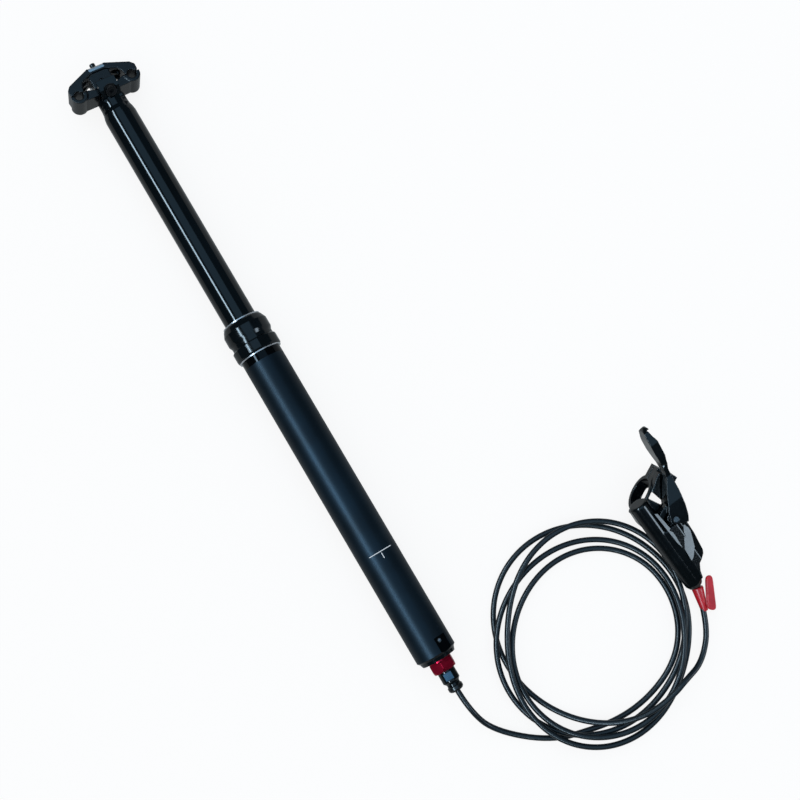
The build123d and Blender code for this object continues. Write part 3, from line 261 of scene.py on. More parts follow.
    def worn(self, tree: bpy.types.NodeTree, tone: bpy.types.NodeSocket,
             marks: bpy.types.NodeSocket) -> bpy.types.NodeSocket:
        """Show the worn colour where the surface turns sharply, broken up by the grain.

        The edge is where the normal averaged over a small radius leaves the true one.

        Args:
            tree: The node tree.
            tone: The colour away from edges.
            marks: The grain's pattern.

        Returns:
            The colour with its worn edges.
        """
        rounded = add_node(tree, "ShaderNodeBevel",
                           {"samples": 6, "Radius": WORN_RADIUS * MM}).outputs["Normal"]
        flat = add_node(tree, "ShaderNodeNewGeometry").outputs["Normal"]
        match = add_node(tree, "ShaderNodeVectorMath", {"operation": "DOT_PRODUCT"}, {0: rounded, 1: flat})
        edge = add_node(tree, "ShaderNodeMapRange", {**WORN_MATCH, 4: self.wear_share},
                        {0: match.outputs["Value"]})
        gaps = add_node(tree, "ShaderNodeMapRange", WORN_GAPS, {0: marks})
        broken = add_node(tree, "ShaderNodeMath", {"operation": "MULTIPLY"},
                          {0: edge.outputs[0], 1: gaps.outputs[0]}).outputs[0]
        return add_node(tree, "ShaderNodeMix", {"data_type": "RGBA", 7: linear(self.wear)},
                        {0: broken, 6: tone}).outputs[2]


# Sulphuric anodising over a polished tube: a hard, wet-looking black with a trace of blue.
STANCHION_BLACK = Finish("gloss_black_anodised_tube", "040A0F", "03070A", roughness=(0.07, 0.12), ior=1.42,
                         grain=Grain.DRAWN, grain_mm=0.5, relief_mm=0.0006, patch_mm=60.0)
# Anodising over a blasted tube: a soft broad highlight and a blue-black body.
TUBE_BLACK = Finish("matte_black_anodised_tube", "0C202C", "091A24", metallic=0.6,
                    roughness=(0.36, 0.42), ior=1.4, grain=Grain.BLASTED, grain_mm=0.35,
                    relief_mm=0.0035, patch_mm=45.0, gloss_ends=True)
# Turned and anodised collar parts: glossy black with faint tool rings.
COLLAR_BLACK = Finish("gloss_black_turned_collar", "040A0F", "03070A", roughness=(0.1, 0.17), ior=1.42,
                      grain=Grain.TURNED, grain_mm=0.5, relief_mm=0.0004, wear="565B60", wear_share=0.35)
# Painted forging: smooth satin black with a slight orange peel.
FORGED_BLACK = Finish("painted_forged_aluminium", "060B10", "04080C", roughness=(0.2, 0.3), ior=1.45,
                      grain=Grain.MOULDED, grain_mm=1.2, relief_mm=0.008, patch_mm=12.0,
                      wear="50555A", wear_share=0.45)
# Glossy lacquer over the forged remote: deep black with soft ripples.
REMOTE_BLACK = Finish("lacquered_remote_aluminium", "04080C", "030608", roughness=(0.1, 0.18), ior=1.45,
                      grain=Grain.MOULDED, grain_mm=1.6, relief_mm=0.006, patch_mm=14.0,
                      wear="5A5F64", wear_share=0.4)
# Red dye under a clear oxide: the metal below lights the colour up.
NUT_RED = Finish("red_anodised_aluminium", "C41C38", "A0142C", metallic=1.0, roughness=(0.24, 0.34),
                 grain=Grain.TURNED, grain_mm=0.4, relief_mm=0.0015, wear="D7898F", wear_share=0.4)
# Machined aluminium: bright, with fine turning marks.
BARE_ALUMINIUM = Finish("machined_aluminium", "C9CCD0", "B4B8BD", metallic=1.0, roughness=(0.22, 0.34),
                        grain=Grain.TURNED, grain_mm=0.3, relief_mm=0.002)
# Black zinc on steel screws: dark grey with a dull shine.
BLACK_STEEL = Finish("black_zinc_steel", "1B1D20", "121416", metallic=0.6, roughness=(0.3, 0.42),
                     grain_mm=0.3, relief_mm=0.003, wear="7C8084", wear_share=0.5)
# Ground steel: bright and fine.
BRIGHT_STEEL = Finish("ground_steel", "B9BCC0", "A3A7AC", metallic=1.0, roughness=(0.14, 0.24),
                      grain=Grain.TURNED, grain_mm=0.3, relief_mm=0.001)
# Drawn spring wire: grey with a soft shine.
SPRING_WIRE = Finish("drawn_spring_wire", "8E9296", "74787C", metallic=1.0, roughness=(0.25, 0.35),
                     grain=Grain.DRAWN, grain_mm=0.2, relief_mm=0.001)
# Turned brass: warm yellow.
BRASS = Finish("turned_brass", "C6A45A", "A88743", metallic=1.0, roughness=(0.2, 0.3),
               grain=Grain.TURNED, grain_mm=0.3, relief_mm=0.0015)
# Sintered bronze: brown with open pores.
BRONZE = Finish("sintered_bronze", "8C6A3E", "6E522F", metallic=1.0, roughness=(0.4, 0.52),
                grain_mm=0.25, relief_mm=0.008)
# Nitrile rubber: dull dark grey.
SEAL_RUBBER = Finish("nitrile_rubber", "131415", "0D0E0F", roughness=(0.45, 0.58), ior=1.52,
                     grain=Grain.MOULDED, grain_mm=0.5, relief_mm=0.004)
# Moulded gland at the hose end: black nylon with a soft gloss.
GLAND_NYLON = Finish("moulded_black_nylon", "0A0C0E", "070809", roughness=(0.22, 0.3), ior=1.53,
                     grain=Grain.MOULDED, grain_mm=0.8, relief_mm=0.004)
# Bearing plastic: pale natural acetal.
BUSHING_PLASTIC = Finish("natural_acetal", "CFC9B5", "BDB6A0", roughness=(0.4, 0.5), ior=1.48,
                         grain=Grain.TURNED, grain_mm=0.4, relief_mm=0.003)
# Polished edge of the trim rings: light grey.
TRIM_SILVER = Finish("polished_trim_ring", "C4C8CC", "B2B6BA", metallic=0.7, roughness=(0.22, 0.3),
                     grain=Grain.TURNED, grain_mm=0.3, relief_mm=0.001)
# Extruded nylon hose jacket: blue-black satin with faint lengthways lines.
HOSE_NYLON = Finish("extruded_nylon_hose", "0B1820", "081218", roughness=(0.26, 0.34), ior=1.45,
                    grain=Grain.MOULDED, grain_mm=0.9, relief_mm=0.004, patch_mm=30.0)
# Shipping tag: soft red vinyl.
TAG_RED = Finish("soft_red_vinyl", "C00A1E", "A80819", roughness=(0.24, 0.34), ior=1.5,
                 grain=Grain.MOULDED, grain_mm=0.7, relief_mm=0.006, patch_mm=9.0)
# Milled through the black skin and dyed again: a thin coat over bright metal, blue-grey where it is lit.
MILLED_FLAT = Finish("milled_anodised_flat", "5C7486", "4C6272", metallic=1.0, roughness=(0.2, 0.28),
                     grain=Grain.TURNED, grain_mm=0.4, relief_mm=0.001)
# Pad print on the tube: matte off-white ink.
WHITE_INK = Finish("white_pad_print", "DADDDF", "CDD1D4", roughness=(0.5, 0.6), ior=1.5,
                   grain=Grain.MOULDED, grain_mm=0.3, relief_mm=0.001)

# The solids that show as they are, by their finish. Pieces of the scene replace the others.
NODE_FINISHES: dict[Finish, tuple[str, ...]] = {
    STANCHION_BLACK: ("upper_post",),
    TUBE_BLACK: ("outer_tube",),
    COLLAR_BLACK: ("collar_base", "collar_cap", "bottom_cap", "hose_coupler"),
    NUT_RED: ("coupler_nut",),
    BARE_ALUMINIUM: ("main_piston", "slave_piston", "seal_head", "floating_piston", "valve_cap", "plunger",
                     "cap_set_screw"),
    BLACK_STEEL: ("clamp_bolts", "clamp_washers", "strap_screw", "bleed_screw", "remote_hose_nut"),
    BRIGHT_STEEL: ("piston_shaft", "poppet_valve", "actuator_rod", "barrel_nuts", "strap_hinge_pin",
                   "lever_pin", "push_rod"),
    BRASS: ("guide_keys", "air_valve"),
    BRONZE: ("pivot_bush",),
    SEAL_RUBBER: ("wiper_seal", "cap_o_ring", "main_piston_ring", "floating_piston_ring", "plunger_seal"),
    GLAND_NYLON: ("hose_gland",),
    BUSHING_PLASTIC: ("upper_bushing", "lower_bushing"),
    TRIM_SILVER: ("trim_ring_base", "trim_ring_top"),
}


class FinishShelf:
    """Keeps one made material for each finish."""

    def __init__(self) -> None:
        """Start with an empty shelf."""
        self.made: dict[Finish, bpy.types.Material] = {}

    def get(self, finish: Finish) -> bpy.types.Material:
        """Give a finish's material, made the first time.

        Args:
            finish: The finish.

        Returns:
            Its material.
        """
        if finish not in self.made:
            self.made[finish] = finish.build()
        return self.made[finish]


# Surfaces

# How close points are merged: doubled points of a grid, and corners of a solid's loose triangles.
GRID_MERGE = 0.001
SOLID_MERGE = 0.002


def grid_mesh(name: str, points: np.ndarray, closed_u: bool, closed_v: bool,
              smooth: bool = True) -> bpy.types.Object:
    """Make a mesh from a grid of points: point (i, j) joins (i + 1, j) and (i, j + 1).

    Args:
        name: The object's name.
        points: Places in millimetres, in an array of rows, columns and three numbers.
        closed_u: Whether the last row joins the first.
        closed_v: Whether the last column joins the first.
        smooth: Whether the faces shade as one smooth surface.

    Returns:
        The new object, linked to the scene, its mesh in metres.
    """
    rows, columns = points.shape[:2]
    index = np.arange(rows * columns).reshape(rows, columns)
    if closed_u:
        index = np.vstack([index, index[:1]])
    if closed_v:
        index = np.hstack([index, index[:, :1]])
    faces = np.stack([index[:-1, :-1], index[1:, :-1], index[1:, 1:], index[:-1, 1:]], -1).reshape(-1, 4)
    mesh = bpy.data.meshes.new(name)
    mesh.from_pydata((points.reshape(-1, 3) * MM).tolist(), [], faces.tolist())
    mesh.polygons.foreach_set("use_smooth", np.full(len(mesh.polygons), smooth))
    mesh.update()
    thing = bpy.data.objects.new(name, mesh)
    bpy.context.scene.collection.objects.link(thing)
    return thing


def close_shell(thing: bpy.types.Object) -> None:
    """Close a grid: merge its doubled points, fill its open ends and turn its faces outwards.

    Args:
        thing: The object, whose mesh changes.
    """
    work = bmesh.new()
    work.from_mesh(thing.data)
    bmesh.ops.remove_doubles(work, verts=work.verts, dist=GRID_MERGE * MM)
    bmesh.ops.holes_fill(work, edges=work.edges, sides=0)
    bmesh.ops.recalc_face_normals(work, faces=work.faces)
    work.to_mesh(thing.data)
    work.free()


def merged_copy(node: bpy.types.Object, name: str) -> bpy.types.Object:
    """Copy a solid's mesh into a new object and merge its loose triangles.

    Args:
        node: The solid.
        name: The new object's name.

    Returns:
        The new object.
    """
    mesh = node.data.copy()
    mesh.name = name
    thing = bpy.data.objects.new(name, mesh)
    bpy.context.scene.collection.objects.link(thing)
    work = bmesh.new()
    work.from_mesh(mesh)
    bmesh.ops.remove_doubles(work, verts=work.verts, dist=SOLID_MERGE * MM)
    work.to_mesh(mesh)
    work.free()
    return thing


def smooth_step(share: np.ndarray) -> np.ndarray:
    """Ease from nought to one: three times the square of the share less twice its cube."""
    share = np.clip(share, 0, 1)
    return share * share * (3 - 2 * share)


def signed_power(wave: np.ndarray, power: float) -> np.ndarray:
    """Raise a wave to a power and keep its sign: a power below one fills an oval's corners."""
    return np.sign(wave) * np.abs(wave) ** power


def dress(thing: bpy.types.Object, material: bpy.types.Material) -> None:
    """Give every material slot of an object the same material.

    Args:
        thing: The object, which gets one slot if it has none.
        material: The material.
    """
    if not thing.data.materials:
        thing.data.materials.append(material)
    for slot in thing.material_slots:
        slot.material = material


# Camera, light and floor


@dataclass(frozen=True)
class Lamp:
    """One soft lamp above the object, aimed at the middle of the part.

    Attributes:
        name: The lamp's name.
        place: Its place, in metres.
        size: Its length along the post and its width, in metres.
        power: Its power in watts.
        colour: Its colour, sRGB hex.
        gloss_only: Whether only gloss shows it, so that it adds nothing to the plain level of light.
        aim: The point that it faces, in metres.
    """

    name: str
    place: tuple[float, float, float]
    size: tuple[float, float]
    power: float
    colour: str
    gloss_only: bool
    aim: tuple[float, float, float] = (-0.1, -0.05, 0.0)

    def build(self) -> None:
        """Hang the lamp with its length along the post, and turn it about that towards its aim."""
        data = bpy.data.lights.new(self.name, "AREA")
        data.shape = "RECTANGLE"
        data.size, data.size_y = self.size
        data.energy = self.power
        data.color = linear(self.colour)[:3]
        thing = bpy.data.objects.new(self.name, data)
        aim = Vector(self.aim) - Vector(self.place)
        along = Vector((1, 0, 0))
        back = -(aim - along * aim.dot(along)).normalized()
        turn = Matrix((along, back.cross(along), back)).transposed()
        thing.matrix_world = Matrix.Translation(self.place) @ turn.to_4x4()
        thing.visible_diffuse = not self.gloss_only
        bpy.context.scene.collection.objects.link(thing)


@dataclass(frozen=True)
class Studio:
    """The camera at the photograph's angle, the lamps, the world and the floor.

    Attributes:
        place: The camera's place, in millimetres.
        right: The picture's right, as a direction.
        up: The picture's up, as a direction.
        lens: The focal length for the sensor.
        sensor: The sensor's width.
        lamps: A long narrow tube for the thin bright line on gloss, a wide cool panel that lights the whole
            part, and a window at the side for the facets that face it.
        soft_level: The strength of the white light from all round.
        room: The colour of the room that gloss shows, sRGB hex.
        room_level: Its strength.
        floor_half: Half the floor's width, in metres.
        paper: The floor's colour where the part's shadow falls on it, sRGB hex.
        floor_in_gloss: The floor's colour in gloss, sRGB hex.
        floor_glow: How much of the floor's colour is its own light, so that the shadow on it stays faint.
    """

    place: tuple[float, float, float] = (-161.53, -71.82, 897.55)
    right: tuple[float, float, float] = (-0.5099, -0.8591, -0.0446)
    up: tuple[float, float, float] = (0.8558, -0.5118, 0.0749)
    lens: float = 54.9
    sensor: float = 36.0
    lamps: tuple[Lamp, ...] = (
        Lamp("tube_lamp", (0.0, 0.83, 1.5), (3.2, 0.24), 60.0, "CDEBFF", gloss_only=True),
        Lamp("cool_panel", (0.0, -0.4, 1.7), (3.4, 1.5), 15.0, "9CCBEE", gloss_only=False),
        Lamp("side_window", (-2.1, -2.5, 1.7), (1.0, 0.9), 30.0, "CFE4F5", gloss_only=True),
    )
    soft_level: float = 0.8
    room: str = "A9C8DC"
    room_level: float = 0.1
    floor_half: float = 6.0
    paper: str = "F4F4F4"
    floor_in_gloss: str = "9AA0A2"
    floor_glow: float = 0.86

    def camera(self) -> None:
        """Place the camera: its axes are the picture's right, its up and the way back from the object."""
        data = bpy.data.cameras.new("camera")
        data.sensor_width = self.sensor
        data.lens = self.lens
        data.dof.use_dof = False
        thing = bpy.data.objects.new("camera", data)
        right = Vector(self.right).normalized()
        up = (Vector(self.up) - right * Vector(self.up).dot(right)).normalized()
        turn = Matrix((right, up, right.cross(up))).transposed()
        thing.matrix_world = Matrix.Translation(Vector(self.place) * MM) @ turn.to_4x4()
        bpy.context.scene.collection.objects.link(thing)
        bpy.context.scene.camera = thing

    def world(self) -> None:
        """Light from all round: white for the part, a dim room in gloss and white to the camera."""
        world = bpy.data.worlds.new("room")
        bpy.context.scene.world = world
        world.use_nodes = True
        tree = world.node_tree
        tree.nodes.clear()
        path = add_node(tree, "ShaderNodeLightPath")
        soft = add_node(tree, "ShaderNodeBackground",
                        {"Color": linear("FFFFFF"), "Strength": self.soft_level})
        room = add_node(tree, "ShaderNodeBackground",
                        {"Color": linear(self.room), "Strength": self.room_level})
        seen = add_node(tree, "ShaderNodeMixShader", {},
                        {0: path.outputs["Is Glossy Ray"], 1: soft.outputs[0], 2: room.outputs[0]})
        white = add_node(tree, "ShaderNodeBackground", {"Color": linear("FFFFFF"), "Strength": 1.0})
        both = add_node(tree, "ShaderNodeMixShader", {},
                        {0: path.outputs["Is Camera Ray"], 1: seen.outputs[0], 2: white.outputs[0]})
        add_node(tree, "ShaderNodeOutputWorld", {}, {"Surface": both.outputs[0]})

    def floor(self) -> None:
        """Lay a pale floor: white to the camera, grey in gloss, and plain paper for light and shadow."""
        side = np.array([-self.floor_half, self.floor_half]) / MM
        grid = np.stack(np.meshgrid(side, side, [FLOOR_Z], indexing="ij"), -1)[:, :, 0]
        thing = grid_mesh("floor", grid, False, False)
        material = bpy.data.materials.new("white_floor")
        material.use_nodes = True
        tree = material.node_tree
        tree.nodes.clear()
        path = add_node(tree, "ShaderNodeLightPath")
        direct = add_node(tree, "ShaderNodeMath", {"operation": "MAXIMUM"},
                          {0: path.outputs["Is Camera Ray"], 1: path.outputs["Is Glossy Ray"]})
        seen = add_node(tree, "ShaderNodeMath", {"operation": "MAXIMUM"},
                        {0: direct.outputs[0], 1: path.outputs["Is Transmission Ray"]})
        glow = add_node(tree, "ShaderNodeMath", {"operation": "MULTIPLY", 1: self.floor_glow},
                        {0: seen.outputs[0]})
        tone = add_node(tree, "ShaderNodeMix",
                        {"data_type": "RGBA", 6: linear("FFFFFF"), 7: linear(self.floor_in_gloss)},
                        {0: path.outputs["Is Glossy Ray"]})
        paper = add_node(tree, "ShaderNodeBsdfDiffuse", {"Color": linear(self.paper)})
        white = add_node(tree, "ShaderNodeEmission", {"Strength": 1.0}, {"Color": tone.outputs[2]})
        both = add_node(tree, "ShaderNodeMixShader", {},
                        {0: glow.outputs[0], 1: paper.outputs[0], 2: white.outputs[0]})
        add_node(tree, "ShaderNodeOutputMaterial", {}, {"Surface": both.outputs[0]})
        dress(thing, material)

    def build(self) -> None:
        """Make the whole studio."""
        scene = bpy.context.scene
        scene.view_settings.view_transform = "Standard"
        self.camera()
        self.world()
        for lamp in self.lamps:
            lamp.build()
        self.floor()


# Hose


@dataclass
class Hose:
    """The hydraulic hose: out of the post, round the coil and into the remote, as one smooth curve.

    Attributes:
        radius: The hose's radius.
        length: The real length. Not used.
        lead: The route from the post, ending at the coil.
        end: The route from the remote, ending at the coil.
        centre: The coil's centre in plan.
        start_angle: The angle at which the coil starts, in degrees.
        turns: The coil's turns.
        rows: For each turn its mean radius and the weights of the cosine and sine of the angle and of
            twice the angle.
        first_seam: The turn at which the first row gives way to the second.
        seam_width: How much of a turn each change of row takes.
        lifts: The height of the hose above the floor at equally spaced stations.
        points_per_turn: Control points in each turn.
        draw_in: The share of the coil's radius at which its control points lie.
    """

    radius: float = 2.1
    length: float = 2053.0
    lead: tuple = ((-283.4, 0.0, 0.0), (-301.23, 0.0, 0.0), (-326.32, -6.8, -14.72),
                   (-354.32, -39.88, -16.05), (-362.92, -75.25, -16.05))
    end: tuple = ((-310.0, -188.6, -9.4), (-337.68, -182.45, -13.39), (-359.1, -163.75, -10.13),
                  (-363.01, -144.69, -2.35), (-366.82, -134.34, -2.35))
    centre: tuple = (-302.0, -106.0)
    start_angle: float = 153.217
    turns: float = 4.14
    rows: tuple = ((62.5, -6.5, 12.0, -6.5, 2.0), (66.0, -7.5, 0.0, 0.5, -3.0),
                   (70.0, -0.5, 4.0, -2.0, -3.0), (75.0, -1.5, -3.0, 3.0, -7.5),
                   (72.5, 6.5, -3.5, 2.5, 1.5))
    first_seam: float = 0.25
    seam_width: float = 0.3
    lifts: tuple = (0, 0.23, 0.26, 3.54, 9.16, 8.8, 1.48, 4.94, 4.53, 4.08, 6.92, 9.31, 9.86,
                    0, 0, 0, 0.43, 13.7)
    points_per_turn: int = 24
    draw_in: float = 0.993

    def coil(self) -> np.ndarray:
        """Work out the coil's control points between its two ends.

        The radius at a turn t is a sum of waves of the angle, whose weights move smoothly from one row to
        the next across each seam, times a share that keeps the hose inside its solid's box. The height
        moves smoothly from one station to the next.

        Returns:
            The points, in millimetres.
        """
        count = round(self.turns * self.points_per_turn)
        turn = np.arange(1, count) / count * self.turns
        angle = math.radians(self.start_angle) + 2 * np.pi * turn
        waves = np.stack([np.ones_like(angle), np.cos(angle), np.sin(angle), np.cos(2 * angle),
                          np.sin(2 * angle)])
        weights = np.repeat(np.array(self.rows[0])[:, None], len(turn), 1)
        for number in range(1, len(self.rows)):
            share = smooth_step((turn - self.first_seam - number + 1) / self.seam_width + 0.5)
            weights += (np.array(self.rows[number]) - np.array(self.rows[number - 1]))[:, None] * share
        radius = (weights * waves).sum(0) * self.draw_in
        place = turn / self.turns * (len(self.lifts) - 1)
        index = np.minimum(place.astype(int), len(self.lifts) - 2)
        lifts = np.array(self.lifts)
        lift = lifts[index] + (lifts[index + 1] - lifts[index]) * smooth_step(place - index)
        x = self.centre[0] + radius * np.cos(angle)
        y = self.centre[1] + radius * np.sin(angle)
        return np.stack([x, y, FLOOR_Z + self.radius + lift], -1)

    def build(self, shelf: FinishShelf, tag: list) -> bpy.types.Object:
        """Args:
            shelf: The finishes.
            tag: The pieces that go with the hose. Not used.

        Returns:
            The hose.
        """
        points = np.concatenate([np.array(self.lead), self.coil(), np.array(self.end)[::-1]]) * MM
        curve = bpy.data.curves.new("hydraulic_hose", "CURVE")
        curve.dimensions = "3D"
        spline = curve.splines.new("NURBS")
        spline.points.add(len(points) - 1)
        flat = np.concatenate([points, np.ones((len(points), 1))], 1).astype(np.float32)
        spline.points.foreach_set("co", flat.ravel())
        spline.order_u = 3
        spline.use_endpoint_u = True
        curve.resolution_u = 8
        curve.bevel_depth = self.radius * MM
        curve.bevel_resolution = 6
        curve.use_fill_caps = True
        thing = bpy.data.objects.new("hydraulic_hose", curve)
        bpy.context.scene.collection.objects.link(thing)
        curve.materials.append(shelf.get(HOSE_NYLON))
        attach(thing, "post_outer")
        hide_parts("hose_lead", "hose_coil", "hose_end")
        return thing


@dataclass
class HoseTag:
    """The red shipping tag: a tapered sleeve round the hose at the remote's port, and its folded flap.

    Attributes:
        origin: The hose port.
        ahead: The hose's direction out of the port.
        aside: The flap's direction from the hose.
        sleeve: The sleeve's profile, as place along the hose and radius.
        near_edge: The flap's edge next to the hose, as place and reach at both ends.
        far_edge: Its other edge, likewise.
        lift: The height of the flap's middle above the hose's axis at both ends.
        thickness: Half the flap's thickness.
        end_share: The share of the thickness that is left at the flap's two ends.
        corner_power: How square the flap's corners are.
        side_power: How full a section is towards its sides.
        face_power: How flat its two faces are.
        crease: The height, place across and width of the crease along the flap.
    """

    origin: tuple[float, float, float] = (-310.0, -188.6, -9.4)
    ahead: tuple[float, float, float] = (-0.9667, 0.2148, -0.1392)
    aside: tuple[float, float, float] = (-0.2148, -0.9667, 0.0)
    sleeve: tuple = ((1.5, 2.1), (1.5, 3.9), (1.8, 4.2), (2.6, 4.3), (9.0, 3.65), (16.0, 2.95),
                     (19.0, 2.75), (19.6, 2.5), (19.6, 2.1))
    near_edge: tuple = ((-5.1, 7.5), (18.0, 0.9))
    far_edge: tuple = ((-4.4, 12.9), (21.5, 7.7))
    lift: tuple[float, float] = (1.8, 3.4)
    thickness: float = 0.75
    end_share: float = 0.3
    corner_power: float = 10.0
    side_power: float = 0.4
    face_power: float = 0.5
    crease: tuple[float, float, float] = (0.5, 0.16, 0.06)

    def axes(self) -> tuple[np.ndarray, np.ndarray, np.ndarray]:
        """Give the tag's three directions.

        Returns:
            Along the hose, towards the flap, and up from both.
        """
        ahead, aside = np.array(self.ahead), np.array(self.aside)
        ahead, aside = ahead / np.linalg.norm(ahead), aside / np.linalg.norm(aside)
        return ahead, aside, np.cross(ahead, aside)

    def make_sleeve(self, around: int = 48) -> bpy.types.Object:
        """Carry the profile round the hose: a point keeps its place ahead and turns by the angle.

        Args:
            around: The points in a turn.

        Returns:
            The sleeve.
        """
        ahead, aside, up = self.axes()
        profile = np.array(self.sleeve)[:, None, :]
        angle = np.linspace(0, 2 * np.pi, around, endpoint=False)[None, :, None]
        outwards = np.cos(angle) * aside + np.sin(angle) * up
        points = np.array(self.origin) + profile[..., :1] * ahead + profile[..., 1:] * outwards
        return grid_mesh("tag_sleeve", points, True, True)

    def make_flap(self, sections: int = 61, around: int = 64) -> bpy.types.Object:
        """Shape the flap from rounded sections carried from its top to its bottom end.

        The sections lie closer towards the ends, by the cosine of an even angle. The two edges run
        straight. The width is drawn in by the square root of one less a high power of the place from the
        middle, which rounds the corners. A section is an oval of the angle, filled out by the side's and
        the face's powers, and the crease is a narrow bell-shaped ridge along its upper side.

        Args:
            sections: The sections from end to end.
            around: The points round a section.

        Returns:
            The flap.
        """
        ahead, aside, up = self.axes()
        place = ((1 - np.cos(np.linspace(0, np.pi, sections))) / 2)[:, None]
        angle = np.linspace(0, 2 * np.pi, around, endpoint=False)[None, :]
        fullness = np.sqrt(np.clip(1 - np.abs(2 * place - 1) ** self.corner_power, 0, 1))
        across = 0.5 + 0.5 * signed_power(np.cos(angle), self.side_power) * fullness
        half = self.thickness * (self.end_share + (1 - self.end_share) * fullness) * (fullness > 0)
        height = signed_power(np.sin(angle), self.face_power) * half
        rise, ridge, width = self.crease
        height = height + rise * np.exp(-((across - ridge) / width) ** 2) * (np.sin(angle) > 0) * fullness
        near, far = (np.array(edge[0]) + (np.array(edge[1]) - np.array(edge[0])) * place[..., None]
                     for edge in (self.near_edge, self.far_edge))
        flat = near + (far - near) * across[..., None]
        level = self.lift[0] + (self.lift[1] - self.lift[0]) * place + height
        points = (np.array(self.origin) + flat[..., :1] * ahead + flat[..., 1:] * aside
                  + level[..., None] * up)
        return grid_mesh("tag_flap", points, False, True)

    def build(self, shelf: FinishShelf) -> list[bpy.types.Object]:
        """Make both pieces, dress them and put them in the place of the tag's solid.

        Args:
            shelf: The finishes.

        Returns:
            The sleeve and the flap.
        """
        sleeve, flap = self.make_sleeve(), self.make_flap()
        for thing in (sleeve, flap):
            close_shell(thing)
            dress(thing, shelf.get(TAG_RED))
            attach(thing, "post_outer")
        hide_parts("hose_tag")
        return [sleeve, flap]


# Outer tube details


@dataclass
class TubePrint:
    """The minimum insertion line printed across the outer tube, with a short stem, and no words.

    Attributes:
        radius: The tube's radius.
        place: The line's place along the post.
        half_turn: Half the angle that the line covers, in degrees.
        middle_turn: The angle of the line's middle from straight up, towards the remote.
        width: The line's width.
        stem: How far from the line's middle the stem starts and ends, along the post.
        stem_half_turn: Half the angle that the stem covers, in degrees.
        proud: How far the ink stands above the tube.
        sunk: How far it reaches below the tube's surface.
    """

    radius: float = 15.8
    place: float = -171.0
    half_turn: float = 35.0
    middle_turn: float = 15.0
    width: float = 0.55
    stem: tuple[float, float] = (5.6, 1.175)
    stem_half_turn: float = 1.0
    proud: float = 0.03
    sunk: float = 0.02

    def patch(self, name: str, x: tuple[float, float], half_turn: float,
              columns: int = 41) -> bpy.types.Object:
        """Print a closed patch on the tube: x runs along it and the angle runs round it.

        The outer skin lies proud of the tube and the inner one just below its surface. A point is its x
        and its radius turned by the angle from straight up.

        Args:
            name: The piece's name.
            x: Where it starts and ends along the post.
            half_turn: Half the angle that it covers, in degrees.
            columns: The points along the angle.

        Returns:
            The new object.
        """
        angle = np.radians(self.middle_turn + np.linspace(-half_turn, half_turn, columns))[:, None]
        low, high = self.radius - self.sunk, self.radius + self.proud
        along = np.array([[x[0], x[0], x[1], x[1]]]) + 0 * angle
        radius = np.array([[low, high, high, low]])
        points = np.stack([along, -radius * np.sin(angle), radius * np.cos(angle)], -1)
        thing = grid_mesh(name, points, False, True, smooth=False)
        close_shell(thing)
        return thing

    def build(self, shelf: FinishShelf) -> list[bpy.types.Object]:
        """Make the line and its stem, and let them ride on the outer tube.

        Args:
            shelf: The finishes.

        Returns:
            The line and the stem.
        """
        half = self.width / 2
        line = self.patch("insertion_line", (self.place - half, self.place + half), self.half_turn)
        stem = self.patch("insertion_line_stem", (self.place - self.stem[0], self.place - self.stem[1]),
                          self.stem_half_turn)
        for thing in (line, stem):
            dress(thing, shelf.get(WHITE_INK))
            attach(thing, "post_outer")
        return [line, stem]


# Forgings with their rounded edges


@dataclass
class Forging:
    """A forged or moulded piece: its solid's shape with the rounded edges that the die leaves.

    Attributes:
        name: The piece's name.
        node: The solid that it stands for.
        body: The body that it rides on.
        slot: The record's material slot. Not used.
        finish: Its finish.
        voxel: The spacing of its surface.
        rounds: How many times its surface is smoothed, which sets how round its edges are.
        smoothing: How far towards its neighbours' middle a point moves each time.
    """

    name: str
    node: str
    body: str
    slot: str
    finish: Finish
    voxel: float
    rounds: int
    smoothing: float = 0.5

    def build(self, nodes: dict, shelf: FinishShelf) -> bpy.types.Object:
        """Copy the solid's mesh, merge it, rebuild its surface on an even grid and smooth it.

        Args:
            nodes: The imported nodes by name.
            shelf: The finishes.

        Returns:
            The new piece.
        """
        thing = merged_copy(nodes[self.node], self.name)
        remesh = thing.modifiers.new("even_surface", "REMESH")
        remesh.mode = "VOXEL"
        remesh.voxel_size = self.voxel * MM
        remesh.use_smooth_shade = True
        smooth = thing.modifiers.new("die_rounding", "SMOOTH")
        smooth.iterations = self.rounds
        smooth.factor = self.smoothing
        bpy.context.view_layer.update()
        depsgraph = bpy.context.evaluated_depsgraph_get()
        final = bpy.data.meshes.new_from_object(thing.evaluated_get(depsgraph))
        thing.modifiers.clear()
        thing.data = final
        final.name = self.name
        final.materials.clear()
        dress(thing, shelf.get(self.finish))
        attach(thing, self.body)
        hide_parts(self.node)
        return thing


def forgings() -> list[Forging]:
    """List the pieces whose edges a die or a mould rounds.

    The spacing of the remote's body keeps it under 200,000 triangles, and its few rounds leave its bore
    wide enough for the plunger's seal.

    Returns:
        The forgings, in the order in which they are built.
    """
    return [
        Forging("saddle_top_clamp", "upper_clamp", "upper_post", "forged_black", FORGED_BLACK, 0.35, 6),
        Forging("saddle_lower_cradle", "lower_cradle", "upper_post", "forged_black", FORGED_BLACK, 0.35, 5),
        Forging("remote_body", "remote_housing", "post_outer", "remote_black", REMOTE_BLACK, 0.385, 6),
        Forging("remote_bar_strap", "clamp_strap", "post_outer", "remote_black", REMOTE_BLACK, 0.3, 4),
        Forging("thumb_lever", "lever", "lever", "remote_black", REMOTE_BLACK, 0.3, 12),
    ]


# Springs


